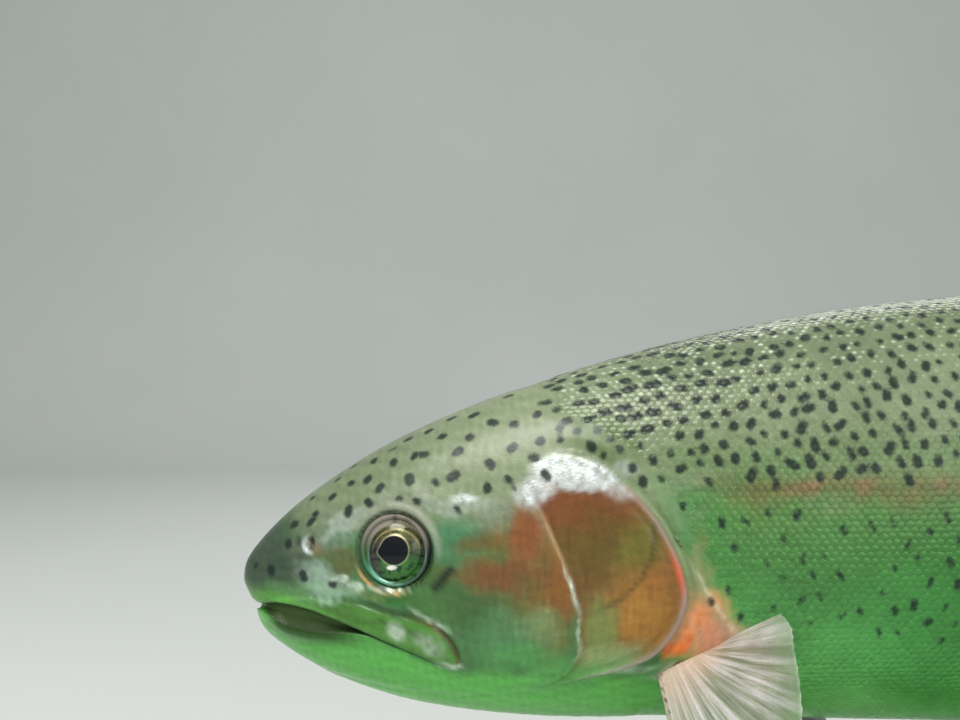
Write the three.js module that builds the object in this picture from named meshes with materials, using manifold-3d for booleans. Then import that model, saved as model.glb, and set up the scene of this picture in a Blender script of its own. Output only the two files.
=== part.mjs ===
// A life-size rainbow trout, swimming, on a flat base with two short rods.
// Millimetres, +Z up. The trout faces -X, with its left side towards -Y.
// The origin is the middle of the base's underside.

import * as THREE from "three";
import { mergeVertices } from "three/addons/utils/BufferGeometryUtils.js";
import Module from "manifold-3d";

const wasm = await Module();
wasm.setup();

// ---------------------------------------------------------------- driving sizes

const STANDARD_LENGTH = 447; // snout tip to the end of the backbone
const HEAD_LENGTH = 105; // snout tip to the rear edge of the gill cover
const BODY_DEPTH = 108; // back to belly at the deepest place
const BODY_WIDTH = 60; // across the thickest place
const EYE_RADIUS = 7.9;
const TAIL_FIN_LENGTH = 68; // longest ray of the tail fin
const DORSAL_HEIGHT = 52; // longest ray of the dorsal fin
const ANAL_HEIGHT = 42;
const PECTORAL_LENGTH = 58;
const PELVIC_LENGTH = 50;
const TAIL_SWEEP = 15; // how far the tail base is carried to the trout's right
const SNOUT_HEIGHT = 118; // snout tip above the floor
const SNOUT_AHEAD = 212; // snout tip in front of the middle of the base
const GAP = 0.35; // between neighbouring pieces

const STAND = {
  length: 214,
  width: 104,
  thickness: 12,
  corner: 16,
  bevel: 1.6,
  rodRadius: 4,
  rodSpacing: 148,
  flangeRadius: 9.5,
  flangeHeight: 3,
  cupRadius: 7.5,
};

const COLUMNS_AHEAD = 20; // stations of the body surface over the head
const COLUMNS_BEHIND = 21; // and over the trunk and the tail stalk
const AROUND = 32; // points round each station
const FAR = 400; // a reach beyond the whole trout

// ---------------------------------------------------------------- body surface
// A station at s has x = STANDARD_LENGTH * s * s, so s runs from 0 at the snout
// to 1 at the tail base and the snout is round. Each line below holds its values
// at equal steps of s. Heights are shares of the body's depth above the snout
// tip, half widths are shares of half its width.

const BODY_LINES = {
  back: [0, 0.08, 0.193, 0.319, 0.437, 0.546, 0.628, 0.657, 0.616, 0.505, 0.452],
  belly: [0, -0.116, -0.199, -0.281, -0.317, -0.322, -0.334, -0.343, -0.282, -0.062, 0.062],
  half: [0, 0.283, 0.517, 0.717, 0.883, 0.975, 1.0, 0.985, 0.86, 0.53, 0.215],
  widest: [0, -0.018, -0.014, 0, 0.028, 0.074, 0.12, 0.157, 0.176, 0.222, 0.257],
  topPower: [2.0, 2.0, 2.1, 2.3, 2.25, 2.1, 2.0, 2.0, 2.05, 2.15, 2.2],
  lowPower: [2.0, 2.0, 2.05, 2.15, 2.2, 2.1, 2.0, 1.95, 1.95, 2.1, 2.2],
};

const JAW = {
  tip: 4.3, // lower jaw's tip behind the snout tip
  level: -10, // and its height
  round: 5, // length of its rounded end
  merge: 40, // where the lower jaw has the body's own stations
};

// Heights of the upper lip along the head at equal steps of s, in millimetres,
// from the snout tip to below the gill cover.
const LIP_LINE = [-3.5, -5, -6.2, -5, -6.4, -9.3, -13.2, -17.9, -18.6, -17.6, -17];
const LIP_STEP = 0.05; // of s
const MOUTH_CORNER = 52; // behind the snout tip
const MOUTH_OPENING = 4.4; // between the lips where they are furthest apart

// Cubic through equally spaced values; t runs from 0 to 1 over all of them.
function along(values, t) {
  const last = values.length - 1;
  const place = THREE.MathUtils.clamp(t, 0, 1) * last;
  const i = Math.min(Math.floor(place), last - 1);
  const f = place - i;
  const before = i > 0 ? values[i - 1] : 2 * values[0] - values[1];
  const after = i + 2 <= last ? values[i + 2] : 2 * values[last] - values[last - 1];
  const startSlope = (values[i + 1] - before) / 2;
  const endSlope = (after - values[i]) / 2;
  const rise = values[i + 1] - values[i];
  return (
    values[i] +
    f * startSlope +
    f * f * (3 * rise - 2 * startSlope - endSlope) +
    f * f * f * (startSlope + endSlope - 2 * rise)
  );
}

const stationAt = (x) => Math.sqrt(Math.max(x, 0) / STANDARD_LENGTH);

function station(s) {
  const half = BODY_WIDTH / 2;
  const line = BODY_LINES;
  return {
    x: STANDARD_LENGTH * s * s,
    back: BODY_DEPTH * along(line.back, s),
    belly: BODY_DEPTH * along(line.belly, s),
    half: half * along(line.half, s),
    widest: BODY_DEPTH * along(line.widest, s),
    topPower: along(line.topPower, s),
    lowPower: along(line.lowPower, s),
  };
}

const backHeight = (x) => station(stationAt(x)).back;
const bellyHeight = (x) => station(stationAt(x)).belly;

function lipHeight(x) {
  const top = (LIP_LINE.length - 1) * LIP_STEP;
  return along(LIP_LINE, stationAt(x) / top);
}

// How far the open mouth stands apart: nearly shut at the front and at its corner.
function mouthGap(x) {
  const parted = THREE.MathUtils.smoothstep(x, 2, 14);
  const shut = THREE.MathUtils.smoothstep(x, 15, 36);
  return GAP + MOUTH_OPENING * parted * (1 - shut);
}

// The trunk's smooth sweep to one side, which grows towards the tail.
function sweep(x) {
  const share = THREE.MathUtils.clamp((x - 150) / (STANDARD_LENGTH - 150), 0, 1.25);
  return TAIL_SWEEP * share * share;
}

// Height and half width at one angle round a station: 0 is the back, half a turn
// is the belly. Above and below the widest level it is a superellipse quarter.
function rim(at, angle, grow) {
  const power = angle <= Math.PI / 2 ? at.topPower : at.lowPower;
  const side = Math.pow(Math.max(Math.sin(angle), 0), 2 / power);
  const rise = Math.pow(Math.abs(Math.cos(angle)), 2 / power);
  const top = Math.max(at.back + grow - at.widest, 0.1);
  const low = Math.max(at.widest - at.belly + grow, 0.1);
  const height = angle <= Math.PI / 2 ? at.widest + rise * top : at.widest - rise * low;
  return { y: side * Math.max(at.half + grow, 0.1), z: height };
}

// Turns a grid of closed rings, with a point at each end, into a closed geometry.
function ringsToGeometry(first, rings, last) {
  const around = rings[0].length;
  const points = [first, ...rings.flat(), last];
  const faces = [];
  const at = (ring, i) => 1 + ring * around + (i % around);
  for (let i = 0; i < around; i++) {
    faces.push(0, at(0, i + 1), at(0, i));
    for (let r = 0; r + 1 < rings.length; r++) {
      faces.push(at(r, i), at(r, i + 1), at(r + 1, i + 1));
      faces.push(at(r, i), at(r + 1, i + 1), at(r + 1, i));
    }
    faces.push(points.length - 1, at(rings.length - 1, i), at(rings.length - 1, i + 1));
  }
  const geometry = new THREE.BufferGeometry().setFromPoints(points);
  geometry.setIndex(faces);
  return geometry;
}

function bodyStations(from, to) {
  const steps = [];
  const headEnd = stationAt(HEAD_LENGTH);
  for (let i = 1; i <= COLUMNS_AHEAD; i++) steps.push((headEnd * i) / COLUMNS_AHEAD);
  for (let i = 1; i <= COLUMNS_BEHIND; i++)
    steps.push(headEnd + ((1 - headEnd) * i) / COLUMNS_BEHIND);
  return steps.filter((s) => s >= from && s <= to);
}

// The whole body from snout to tail base, grown outwards by some millimetres.
function bodyGeometry(grow) {
  const rings = bodyStations(0, 1).map((s) => {
    const at = station(s);
    return Array.from({ length: AROUND }, (_, i) => {
      const turn = (2 * Math.PI * i) / AROUND;
      const side = turn <= Math.PI ? -1 : 1;
      const { y, z } = rim(at, turn <= Math.PI ? turn : 2 * Math.PI - turn, grow);
      return new THREE.Vector3(at.x, sweep(at.x) + side * y, z);
    });
  });
  const end = station(1);
  const thin = rings.at(-1).map((p) => {
    const y = sweep(end.x) + (p.y - sweep(end.x)) * 0.45;
    return new THREE.Vector3(end.x + 4 + grow, y, p.z);
  });
  const middle = (end.back + end.belly) / 2;
  return ringsToGeometry(
    new THREE.Vector3(-grow, 0, 0),
    [...rings, thin],
    new THREE.Vector3(end.x + 4.5 + grow, sweep(end.x), middle),
  );
}

// The lower jaw's own surface: the body's stations, drawn in to a round tip.
function jawGeometry() {
  const stations = bodyStations(0, stationAt(90));
  const rings = stations.map((s) => {
    const back = STANDARD_LENGTH * s * s;
    const x = back < JAW.merge ? JAW.tip + back * (1 - JAW.tip / JAW.merge) : back;
    const at = station(stationAt(x));
    const ahead = 1 - THREE.MathUtils.clamp((x - JAW.tip) / JAW.round, 0, 1);
    const full = Math.sqrt(Math.max(1 - ahead * ahead, 0.0004));
    return Array.from({ length: AROUND }, (_, i) => {
      const turn = (2 * Math.PI * i) / AROUND;
      const side = turn <= Math.PI ? -1 : 1;
      const { y, z } = rim(at, turn <= Math.PI ? turn : 2 * Math.PI - turn, 0);
      return new THREE.Vector3(x, side * y * full, JAW.level + (z - JAW.level) * full);
    });
  });
  const end = rings.at(-1)[0].x;
  return ringsToGeometry(
    new THREE.Vector3(JAW.tip - 0.1, 0, JAW.level),
    rings,
    new THREE.Vector3(end + 1, 0, 0),
  );
}

// ---------------------------------------------------------------- solids

function toSolid(geometry) {
  const plain = new THREE.BufferGeometry();
  const source = geometry.index ? geometry.toNonIndexed() : geometry;
  plain.setAttribute("position", source.getAttribute("position"));
  const merged = mergeVertices(plain, 1e-3);
  return new wasm.Manifold(
    new wasm.Mesh({
      numProp: 3,
      vertProperties: new Float32Array(merged.attributes.position.array),
      triVerts: new Uint32Array(merged.index.array),
    }),
  );
}

function toGeometry(solid) {
  const mesh = solid.getMesh();
  const geometry = new THREE.BufferGeometry();
  geometry.setAttribute("position", new THREE.BufferAttribute(mesh.vertProperties, 3));
  geometry.setIndex(new THREE.BufferAttribute(mesh.triVerts, 1));
  const flat = geometry.toNonIndexed();
  flat.computeVertexNormals();
  return flat;
}

// The largest connected body, without the slivers that a cut can leave.
function largest(solid) {
  return solid
    .decompose()
    .reduce((best, part) => (part.volume() > best.volume() ? part : best));
}

// A side-view outline carried across the trout from one y to another.
function prism(outline, fromY, toY) {
  const shape = new THREE.Shape(outline.map(([x, z]) => new THREE.Vector2(x, z)));
  const geometry = new THREE.ExtrudeGeometry(shape, {
    depth: toY - fromY,
    bevelEnabled: false,
    curveSegments: 1,
  });
  geometry.rotateX(Math.PI / 2).translate(0, toY, 0);
  return toSolid(geometry);
}

const across = (outline) => prism(outline, -FAR, FAR);

// The two sides of a line that runs from above the trout to below it.
const aheadOf = (line) =>
  across([[-FAR, FAR], ...line.map(([x, z]) => [x - GAP / 2, z]), [-FAR, -FAR]]);
const behind = (line) =>
  across([[2 * FAR, FAR], ...line.map(([x, z]) => [x + GAP / 2, z]), [2 * FAR, -FAR]]);

const sideOf = (outline, side) =>
  side < 0 ? prism(outline, -FAR, -1) : prism(outline, 1, FAR);

// ---------------------------------------------------------------- dividing lines

const NAPE_LINE = [
  [0.7 * HEAD_LENGTH, FAR],
  [0.77 * HEAD_LENGTH, backHeight(0.77 * HEAD_LENGTH)],
  [0.9 * HEAD_LENGTH, 25],
  [0.93 * HEAD_LENGTH, 0],
  [0.92 * HEAD_LENGTH, -22],
  [0.88 * HEAD_LENGTH, -FAR],
];
const STALK_LINE = [
  [0.852 * STANDARD_LENGTH, FAR],
  [0.852 * STANDARD_LENGTH, -FAR],
];
const JAW_LINE = [
  [MOUTH_CORNER - 1, 0],
  [MOUTH_CORNER + 2, lipHeight(MOUTH_CORNER)],
  [MOUTH_CORNER + 12, bellyHeight(MOUTH_CORNER + 12)],
  [MOUTH_CORNER + 30, -FAR],
];

function lipPoints(offset) {
  const points = [];
  for (let s = 0; s <= 0.5; s += 0.025) {
    const x = STANDARD_LENGTH * s * s;
    points.push([x, lipHeight(x) - offset(x)]);
  }
  return points;
}

const aboveMouth = () =>
  across([[-FAR, FAR], [-FAR, 0], [-1, 0], ...lipPoints(() => 0), [FAR, -17], [FAR, FAR]]);
const belowMouth = () =>
  across([[-FAR, -FAR], [-FAR, -2], ...lipPoints(mouthGap), [FAR, -17.4], [FAR, -FAR]]);

// The gill cover, clockwise from its upper front corner, as shares of head length.
const GILL_COVER_OUTLINE = [
  [0.671, 0.209],
  [0.689, 0.278],
  [0.741, 0.307],
  [0.805, 0.293],
  [0.868, 0.246],
  [0.93, 0.181],
  [0.978, 0.1],
  [0.998, 0.03],
  [0.997, -0.025],
  [0.972, -0.082],
  [0.93, -0.13],
  [0.866, -0.16],
  [0.79, -0.186],
  [0.779, -0.1],
  [0.77, -0.01],
  [0.74, 0.08],
  [0.71, 0.16],
];

function closedOutline(shares, pointCount) {
  const corners = shares.map(
    ([x, z]) => new THREE.Vector3(x * HEAD_LENGTH, z * HEAD_LENGTH, 0),
  );
  const curve = new THREE.CatmullRomCurve3(corners, true, "catmullrom", 0.5);
  return curve.getPoints(pointCount).slice(0, -1).map((p) => [p.x, p.y]);
}

// Moves each point of a closed outline outwards by some millimetres.
function grown(outline, by) {
  const count = outline.length;
  const area = outline.reduce((sum, [x, z], i) => {
    const [nextX, nextZ] = outline[(i + 1) % count];
    return sum + x * nextZ - nextX * z;
  }, 0);
  return outline.map(([x, z], i) => {
    const [aheadX, aheadZ] = outline[(i + 1) % count];
    const [backX, backZ] = outline[(i + count - 1) % count];
    const run = Math.hypot(aheadX - backX, aheadZ - backZ);
    const turn = by * Math.sign(area);
    return [x + ((aheadZ - backZ) / run) * turn, z - ((aheadX - backX) / run) * turn];
  });
}

// The upper jaw bone lies on the lip and is deepest towards its rear end.
const MAXILLA_START = 9;
const MAXILLA_END = 55;
const MAXILLA_DEPTH = 9.2;
const MAXILLA_SHAPE = [0.1, 0.24, 0.38, 0.58, 0.76, 0.92, 0.96, 0.1];

function maxillaOutline() {
  const steps = 10;
  const upper = [];
  const lower = [];
  for (let i = 0; i <= steps; i++) {
    const x = THREE.MathUtils.lerp(MAXILLA_START, MAXILLA_END, i / steps);
    lower.push([x, lipHeight(x) + 0.05]);
    upper.unshift([x, lipHeight(x) + MAXILLA_DEPTH * along(MAXILLA_SHAPE, i / steps)]);
  }
  return [...lower, ...upper];
}

// ---------------------------------------------------------------- eyes

const EYE_PLACE = { x: 39.3, z: 9.2, out: 18.6 };
const EYE_TURN = { forward: 0.2, up: 0.13 }; // radians from straight sideways
const EYE_BULGE = 3.3;
const EYE_ROOT = 5.5;

// A shallow dome outside and a deeper bowl inside, turned about the eye's axis.
function eyeGeometry(grow) {
  const profile = [new THREE.Vector2(0, EYE_BULGE + grow)];
  const steps = 4;
  for (let i = 1; i <= steps; i++) {
    const turn = (Math.PI / 2) * (i / steps);
    const radius = (EYE_RADIUS + grow) * Math.sin(turn);
    profile.push(new THREE.Vector2(radius, (EYE_BULGE + grow) * Math.cos(turn)));
  }
  profile.push(new THREE.Vector2(0.8 * EYE_RADIUS + grow, -0.6 * EYE_ROOT));
  profile.push(new THREE.Vector2(0, -EYE_ROOT - grow));
  return new THREE.LatheGeometry(profile.reverse(), 16);
}

// The lathe's axis is +Y: it points out of the head on the given side.
function placeEye(geometry, side) {
  if (side < 0) geometry.rotateX(Math.PI);
  geometry.rotateX(side * EYE_TURN.up);
  geometry.rotateZ(side * EYE_TURN.forward);
  geometry.translate(EYE_PLACE.x, side * EYE_PLACE.out, EYE_PLACE.z);
  return geometry;
}

// ---------------------------------------------------------------- fins

// A fin is a fan of rays from a base line. Across it, u runs from the leading ray
// to the last one, and along each ray t runs from the base to the margin. Lengths
// are shares of the longest ray at equal steps of u. The fin thins towards its
// margin, and curl bends it out of its plane.
const FIN_MARGIN = 0.7;

function finGeometry(fin) {
  const { base, lead, trail, length, shares, thick, curl = 0, droop = 0 } = fin;
  const { across: wide = 10, steps = 4 } = fin;
  const leadWay = new THREE.Vector3(...lead).normalize();
  const trailWay = new THREE.Vector3(...trail).normalize();
  const normal = new THREE.Vector3().crossVectors(leadWay, trailWay).normalize();
  const fanAngle = leadWay.angleTo(trailWay);
  const middle = (u, t) => {
    const way = leadWay.clone().applyAxisAngle(normal, fanAngle * u);
    const bent = way.clone().applyAxisAngle(normal, droop * t * (1 - u));
    const reach = length * along(shares, u) * t;
    const point = new THREE.Vector3(...base[0]).lerp(new THREE.Vector3(...base[1]), u);
    point.addScaledVector(bent, reach);
    point.addScaledVector(normal, curl * t * t);
    return point;
  };
  const half = (u, t) => {
    const edge = Math.sqrt(Math.max(Math.sin(Math.PI * (0.04 + 0.92 * u)), 0));
    return 0.5 * (FIN_MARGIN + (thick - FIN_MARGIN) * (1 - t) * (0.35 + 0.65 * edge));
  };
  const points = [];
  for (const side of [1, -1])
    for (let i = 0; i <= wide; i++)
      for (let j = 0; j <= steps; j++) {
        const u = i / wide;
        const t = j / steps;
        const point = middle(u, t).addScaledVector(normal, side * half(u, t));
        points.push(new THREE.Vector3(point.x, point.y + sweep(point.x), point.z));
      }
  const sheet = (wide + 1) * (steps + 1);
  const at = (i, j, face) => face * sheet + i * (steps + 1) + j;
  const faces = [];
  const quad = (a, b, c, d) => faces.push(a, b, c, a, c, d);
  for (let i = 0; i < wide; i++)
    for (let j = 0; j < steps; j++) {
      quad(at(i, j, 0), at(i, j + 1, 0), at(i + 1, j + 1, 0), at(i + 1, j, 0));
      quad(at(i, j, 1), at(i + 1, j, 1), at(i + 1, j + 1, 1), at(i, j + 1, 1));
    }
  for (let i = 0; i < wide; i++) {
    quad(at(i, 0, 0), at(i + 1, 0, 0), at(i + 1, 0, 1), at(i, 0, 1));
    quad(at(i, steps, 0), at(i, steps, 1), at(i + 1, steps, 1), at(i + 1, steps, 0));
  }
  for (let j = 0; j < steps; j++) {
    quad(at(0, j, 0), at(0, j, 1), at(0, j + 1, 1), at(0, j + 1, 0));
    quad(at(wide, j, 0), at(wide, j + 1, 0), at(wide, j + 1, 1), at(wide, j, 1));
  }
  const geometry = new THREE.BufferGeometry().setFromPoints(points);
  geometry.setIndex(faces);
  return geometry;
}

// A fin solid that faces out, trimmed to just clear of the body.
function finSolid(fin, bodyClear) {
  const geometry = finGeometry(fin);
  let solid = toSolid(geometry);
  if (solid.volume() < 0) {
    const index = Array.from(geometry.index.array);
    for (let i = 0; i < index.length; i += 3)
      [index[i + 1], index[i + 2]] = [index[i + 2], index[i + 1]];
    geometry.setIndex(index);
    solid = toSolid(geometry);
  }
  return largest(solid.subtract(bodyClear));
}

const mirrored = (fin) => ({
  ...fin,
  base: fin.base.map(([x, y, z]) => [x, -y, z]),
  lead: [fin.lead[0], -fin.lead[1], fin.lead[2]],
  trail: [fin.trail[0], -fin.trail[1], fin.trail[2]],
  curl: fin.curl ? -fin.curl : 0,
});

const SINK = 5; // how deep a fin's base line lies under the body's surface
const onBack = (x) => [x, 0, backHeight(x) - SINK];
const onBelly = (x) => [x, 0, bellyHeight(x) + SINK];

const DORSAL = {
  base: [onBack(0.474 * STANDARD_LENGTH), onBack(0.612 * STANDARD_LENGTH)],
  lead: [0.6, 0, 0.8],
  trail: [0.86, 0, 0.5],
  length: DORSAL_HEIGHT + SINK,
  shares: [0.92, 1.0, 0.95, 0.86, 0.77, 0.68, 0.6],
  thick: 3.4,
};
const ADIPOSE = {
  base: [onBack(0.802 * STANDARD_LENGTH), onBack(0.83 * STANDARD_LENGTH)],
  lead: [0.8, 0, 0.6],
  trail: [0.99, 0, 0.16],
  length: 27,
  shares: [0.82, 1.0, 0.97, 0.78, 0.5],
  thick: 3,
  across: 8,
};
const ANAL = {
  base: [onBelly(0.735 * STANDARD_LENGTH), onBelly(0.838 * STANDARD_LENGTH)],
  lead: [0.5, 0, -0.86],
  trail: [0.84, 0, -0.54],
  length: ANAL_HEIGHT + SINK,
  shares: [0.9, 1.0, 0.93, 0.81, 0.7, 0.61, 0.54],
  thick: 3,
};
const tailBase = station(1);
const TAIL = {
  base: [
    [STANDARD_LENGTH - 5, 0, tailBase.back - 4],
    [STANDARD_LENGTH - 5, 0, tailBase.belly + 4],
  ],
  lead: [0.83, 0, 0.56],
  trail: [0.83, 0, -0.56],
  length: TAIL_FIN_LENGTH + 5,
  shares: [0.9, 1.0, 0.91, 0.83, 0.79, 0.83, 0.91, 1.0, 0.9],
  thick: 5,
  across: 16,
  steps: 5,
};
const PECTORAL = {
  base: [
    [0.955 * HEAD_LENGTH, -18.5, -13.9],
    [1.075 * HEAD_LENGTH, -21, -13.7],
  ],
  lead: [0, -0.73, -0.69],
  trail: [0.14, -0.86, 0.52],
  length: PECTORAL_LENGTH + SINK,
  shares: [0.93, 1.0, 0.98, 0.9, 0.78, 0.63, 0.53],
  thick: 3.2,
  curl: -4,
  droop: 0.12,
};
const PELVIC = {
  base: [
    [0.53 * STANDARD_LENGTH, -8, -32.5],
    [0.552 * STANDARD_LENGTH, -5.5, -33],
  ],
  lead: [0.66, -0.5, -0.56],
  trail: [0.96, -0.12, -0.24],
  length: PELVIC_LENGTH + SINK,
  shares: [0.92, 1.0, 0.96, 0.88, 0.78, 0.66, 0.55],
  thick: 3,
  curl: -3,
};

// ---------------------------------------------------------------- stand

function standBaseGeometry() {
  const { length, width, thickness, corner, bevel } = STAND;
  const halfLength = length / 2 - bevel;
  const halfWidth = width / 2 - bevel;
  const round = corner - bevel;
  const shape = new THREE.Shape();
  shape.moveTo(halfLength - round, -halfWidth);
  shape.absarc(halfLength - round, -halfWidth + round, round, -Math.PI / 2, 0);
  shape.absarc(halfLength - round, halfWidth - round, round, 0, Math.PI / 2);
  shape.absarc(round - halfLength, halfWidth - round, round, Math.PI / 2, Math.PI);
  shape.absarc(round - halfLength, round - halfWidth, round, Math.PI, 1.5 * Math.PI);
  return new THREE.ExtrudeGeometry(shape, {
    depth: thickness - 2 * bevel,
    bevelThickness: bevel,
    bevelSize: bevel,
    bevelSegments: 1,
    curveSegments: 4,
  }).translate(0, 0, bevel);
}

// A rod with a foot flange and a cup, which the belly shapes.
function rodGeometry(top) {
  const { rodRadius, flangeRadius, flangeHeight, cupRadius, thickness } = STAND;
  const profile = [
    [0, thickness],
    [flangeRadius, thickness],
    [flangeRadius, thickness + flangeHeight - 1],
    [flangeRadius - 1, thickness + flangeHeight],
    [rodRadius, thickness + flangeHeight],
    [rodRadius, top - 8],
    [cupRadius, top - 3],
    [cupRadius, top + 8],
    [0, top + 8],
  ].map(([radius, height]) => new THREE.Vector2(radius, height));
  return new THREE.LatheGeometry(profile, 16).rotateX(Math.PI / 2);
}

// ---------------------------------------------------------------- materials

const FINISHES = {
  head: { color: 0x8b9a7b, roughness: 0.45, metalness: 0.05 },
  jaw: { color: 0x84a878, roughness: 0.45, metalness: 0.05 },
  gill_cover: { color: 0xa5663c, roughness: 0.4, metalness: 0.1 },
  body: { color: 0x7d9a6c, roughness: 0.4, metalness: 0.15 },
  fin: { color: 0x9d9a84, roughness: 0.5, metalness: 0 },
  eye: { color: 0x2b3a33, roughness: 0.08, metalness: 0 },
  stand_base: { color: 0x5a3d28, roughness: 0.55, metalness: 0 },
  stand_rod: { color: 0xb4b6b8, roughness: 0.3, metalness: 1 },
};
const materials = Object.fromEntries(
  Object.entries(FINISHES).map(([name, values]) => [
    name,
    new THREE.MeshStandardMaterial(values),
  ]),
);

function named(name, geometry, finish) {
  const mesh = new THREE.Mesh(geometry, materials[finish]);
  mesh.name = name;
  return mesh;
}

// ---------------------------------------------------------------- the trout

const body = toSolid(bodyGeometry(0));
const bodyClear = toSolid(bodyGeometry(GAP));
const bodyProud = toSolid(bodyGeometry(1.1));
const core = toSolid(bodyGeometry(-2.4));
const coreClear = toSolid(bodyGeometry(-2.4 + GAP));
const jawBody = toSolid(jawGeometry());

const SIDES = [
  ["left", -1],
  ["right", 1],
];
const gillCover = closedOutline(GILL_COVER_OUTLINE, 32);
const maxilla = maxillaOutline();

// What is taken from the head and its neighbours to seat plates and eyes.
function seats() {
  const pockets = [];
  for (const [, side] of SIDES) {
    for (const outline of [gillCover, maxilla])
      pockets.push(sideOf(grown(outline, GAP), side).subtract(core));
    pockets.push(toSolid(placeEye(eyeGeometry(GAP), side)));
  }
  return wasm.Manifold.union(pockets);
}

function trout() {
  const group = new THREE.Group();
  const add = (name, solid, finish) =>
    group.add(named(name, toGeometry(largest(solid)), finish));
  const pockets = seats();
  const front = body.intersect(aheadOf(NAPE_LINE)).subtract(pockets);
  const rear = body.intersect(behind(NAPE_LINE)).subtract(pockets);

  add("head", front.intersect(aboveMouth()), "head");
  const jawPiece = jawBody.intersect(belowMouth()).intersect(aheadOf(JAW_LINE));
  add("lower_jaw", jawPiece.subtract(pockets), "jaw");
  add("throat", front.intersect(belowMouth()).intersect(behind(JAW_LINE)), "jaw");
  add("trunk", rear.intersect(aheadOf(STALK_LINE)), "body");
  add("tail_stalk", rear.intersect(behind(STALK_LINE)), "body");

  for (const [name, side] of SIDES) {
    const cover = bodyProud.intersect(sideOf(gillCover, side)).subtract(coreClear);
    add("gill_cover_" + name, cover, "gill_cover");
    const plate = bodyProud.intersect(sideOf(maxilla, side)).subtract(coreClear);
    add("maxilla_" + name, plate, "jaw");
    add("eye_" + name, toSolid(placeEye(eyeGeometry(0), side)), "eye");
    const turned = (fin) => (side < 0 ? fin : mirrored(fin));
    const coverClear = bodyProud.intersect(sideOf(grown(gillCover, GAP), side));
    const pectoral = finSolid(turned(PECTORAL), bodyClear).subtract(coverClear);
    add("pectoral_fin_" + name, pectoral, "fin");
    add("pelvic_fin_" + name, finSolid(turned(PELVIC), bodyClear), "fin");
  }
  add("dorsal_fin", finSolid(DORSAL, bodyClear), "fin");
  add("adipose_fin", finSolid(ADIPOSE, bodyClear), "fin");
  add("anal_fin", finSolid(ANAL, bodyClear), "fin");
  add("tail_fin", finSolid(TAIL, bodyClear), "fin");

  group.position.set(-SNOUT_AHEAD, 0, SNOUT_HEIGHT);
  return group;
}

function stand() {
  const group = new THREE.Group();
  group.add(named("stand_base", standBaseGeometry(), "stand_base"));
  for (const [name, way] of [
    ["front", -1],
    ["rear", 1],
  ]) {
    const x = (way * STAND.rodSpacing) / 2;
    const alongBody = x + SNOUT_AHEAD;
    const top = SNOUT_HEIGHT + bellyHeight(alongBody);
    const rod = rodGeometry(top).translate(x, sweep(alongBody), 0);
    const shaped = toSolid(rod).subtract(
      bodyClear.translate([-SNOUT_AHEAD, 0, SNOUT_HEIGHT]),
    );
    group.add(named("stand_rod_" + name, toGeometry(largest(shaped)), "stand_rod"));
  }
  return group;
}

const root = new THREE.Group();
root.add(trout(), stand());

export default root;
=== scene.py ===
"""A life-size rainbow trout, swimming over its display stand.

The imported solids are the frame. One skin covers the trout's flesh, small scales lie
on it like tiles, and the fins, eyes and stand are pieces of their own. Everything on
the trout is worked out in millimetres from the tip of its snout, with x towards the
tail and z up, and is set into the frame in metres at the end.
"""

import sys
import logging
from dataclasses import dataclass, field, replace
from enum import Enum
from math import acos, ceil, cos, pi, radians, sin, sqrt, tau
from typing import Iterable, Sequence

import bmesh
import bpy
import numpy as np
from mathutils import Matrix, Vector


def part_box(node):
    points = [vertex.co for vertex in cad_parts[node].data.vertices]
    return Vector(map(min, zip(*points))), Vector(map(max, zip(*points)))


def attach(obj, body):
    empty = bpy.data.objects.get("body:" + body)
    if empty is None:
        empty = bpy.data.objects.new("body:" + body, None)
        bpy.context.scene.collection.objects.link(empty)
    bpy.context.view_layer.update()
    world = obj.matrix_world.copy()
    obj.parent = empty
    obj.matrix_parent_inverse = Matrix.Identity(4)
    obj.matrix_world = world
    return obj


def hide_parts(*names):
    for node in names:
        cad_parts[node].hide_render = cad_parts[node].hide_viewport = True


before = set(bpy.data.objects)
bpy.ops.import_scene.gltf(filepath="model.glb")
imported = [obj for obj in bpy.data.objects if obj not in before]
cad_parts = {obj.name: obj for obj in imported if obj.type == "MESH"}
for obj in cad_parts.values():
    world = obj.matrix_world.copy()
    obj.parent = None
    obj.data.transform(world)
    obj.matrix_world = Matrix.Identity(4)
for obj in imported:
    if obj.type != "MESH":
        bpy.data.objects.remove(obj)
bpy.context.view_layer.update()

LOG = logging.getLogger("trout")
Array = np.ndarray
Triple = tuple[float, float, float]
Piece = bpy.types.Object
Socket = bpy.types.NodeSocket
Sockets = dict[str, object]
Tree = bpy.types.NodeTree
Material = bpy.types.Material
Random = np.random.Generator
Pair = tuple[Array, Array]
Layer = tuple[Array | tuple[int, int, int], Array]

MM = 0.001
BODY = "root"


class Side(Enum):
    """The trout's two sides, with the sign of their y."""

    LEFT = -1.0
    RIGHT = 1.0


class Slot(Enum):
    """The record's material slots, for the pieces that are built here."""

    HEAD = "head"
    BODY = "body"
    FIN = "fin"
    EYE = "eye"
    ROD = "stand_rod"


# ---- number helpers


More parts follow.
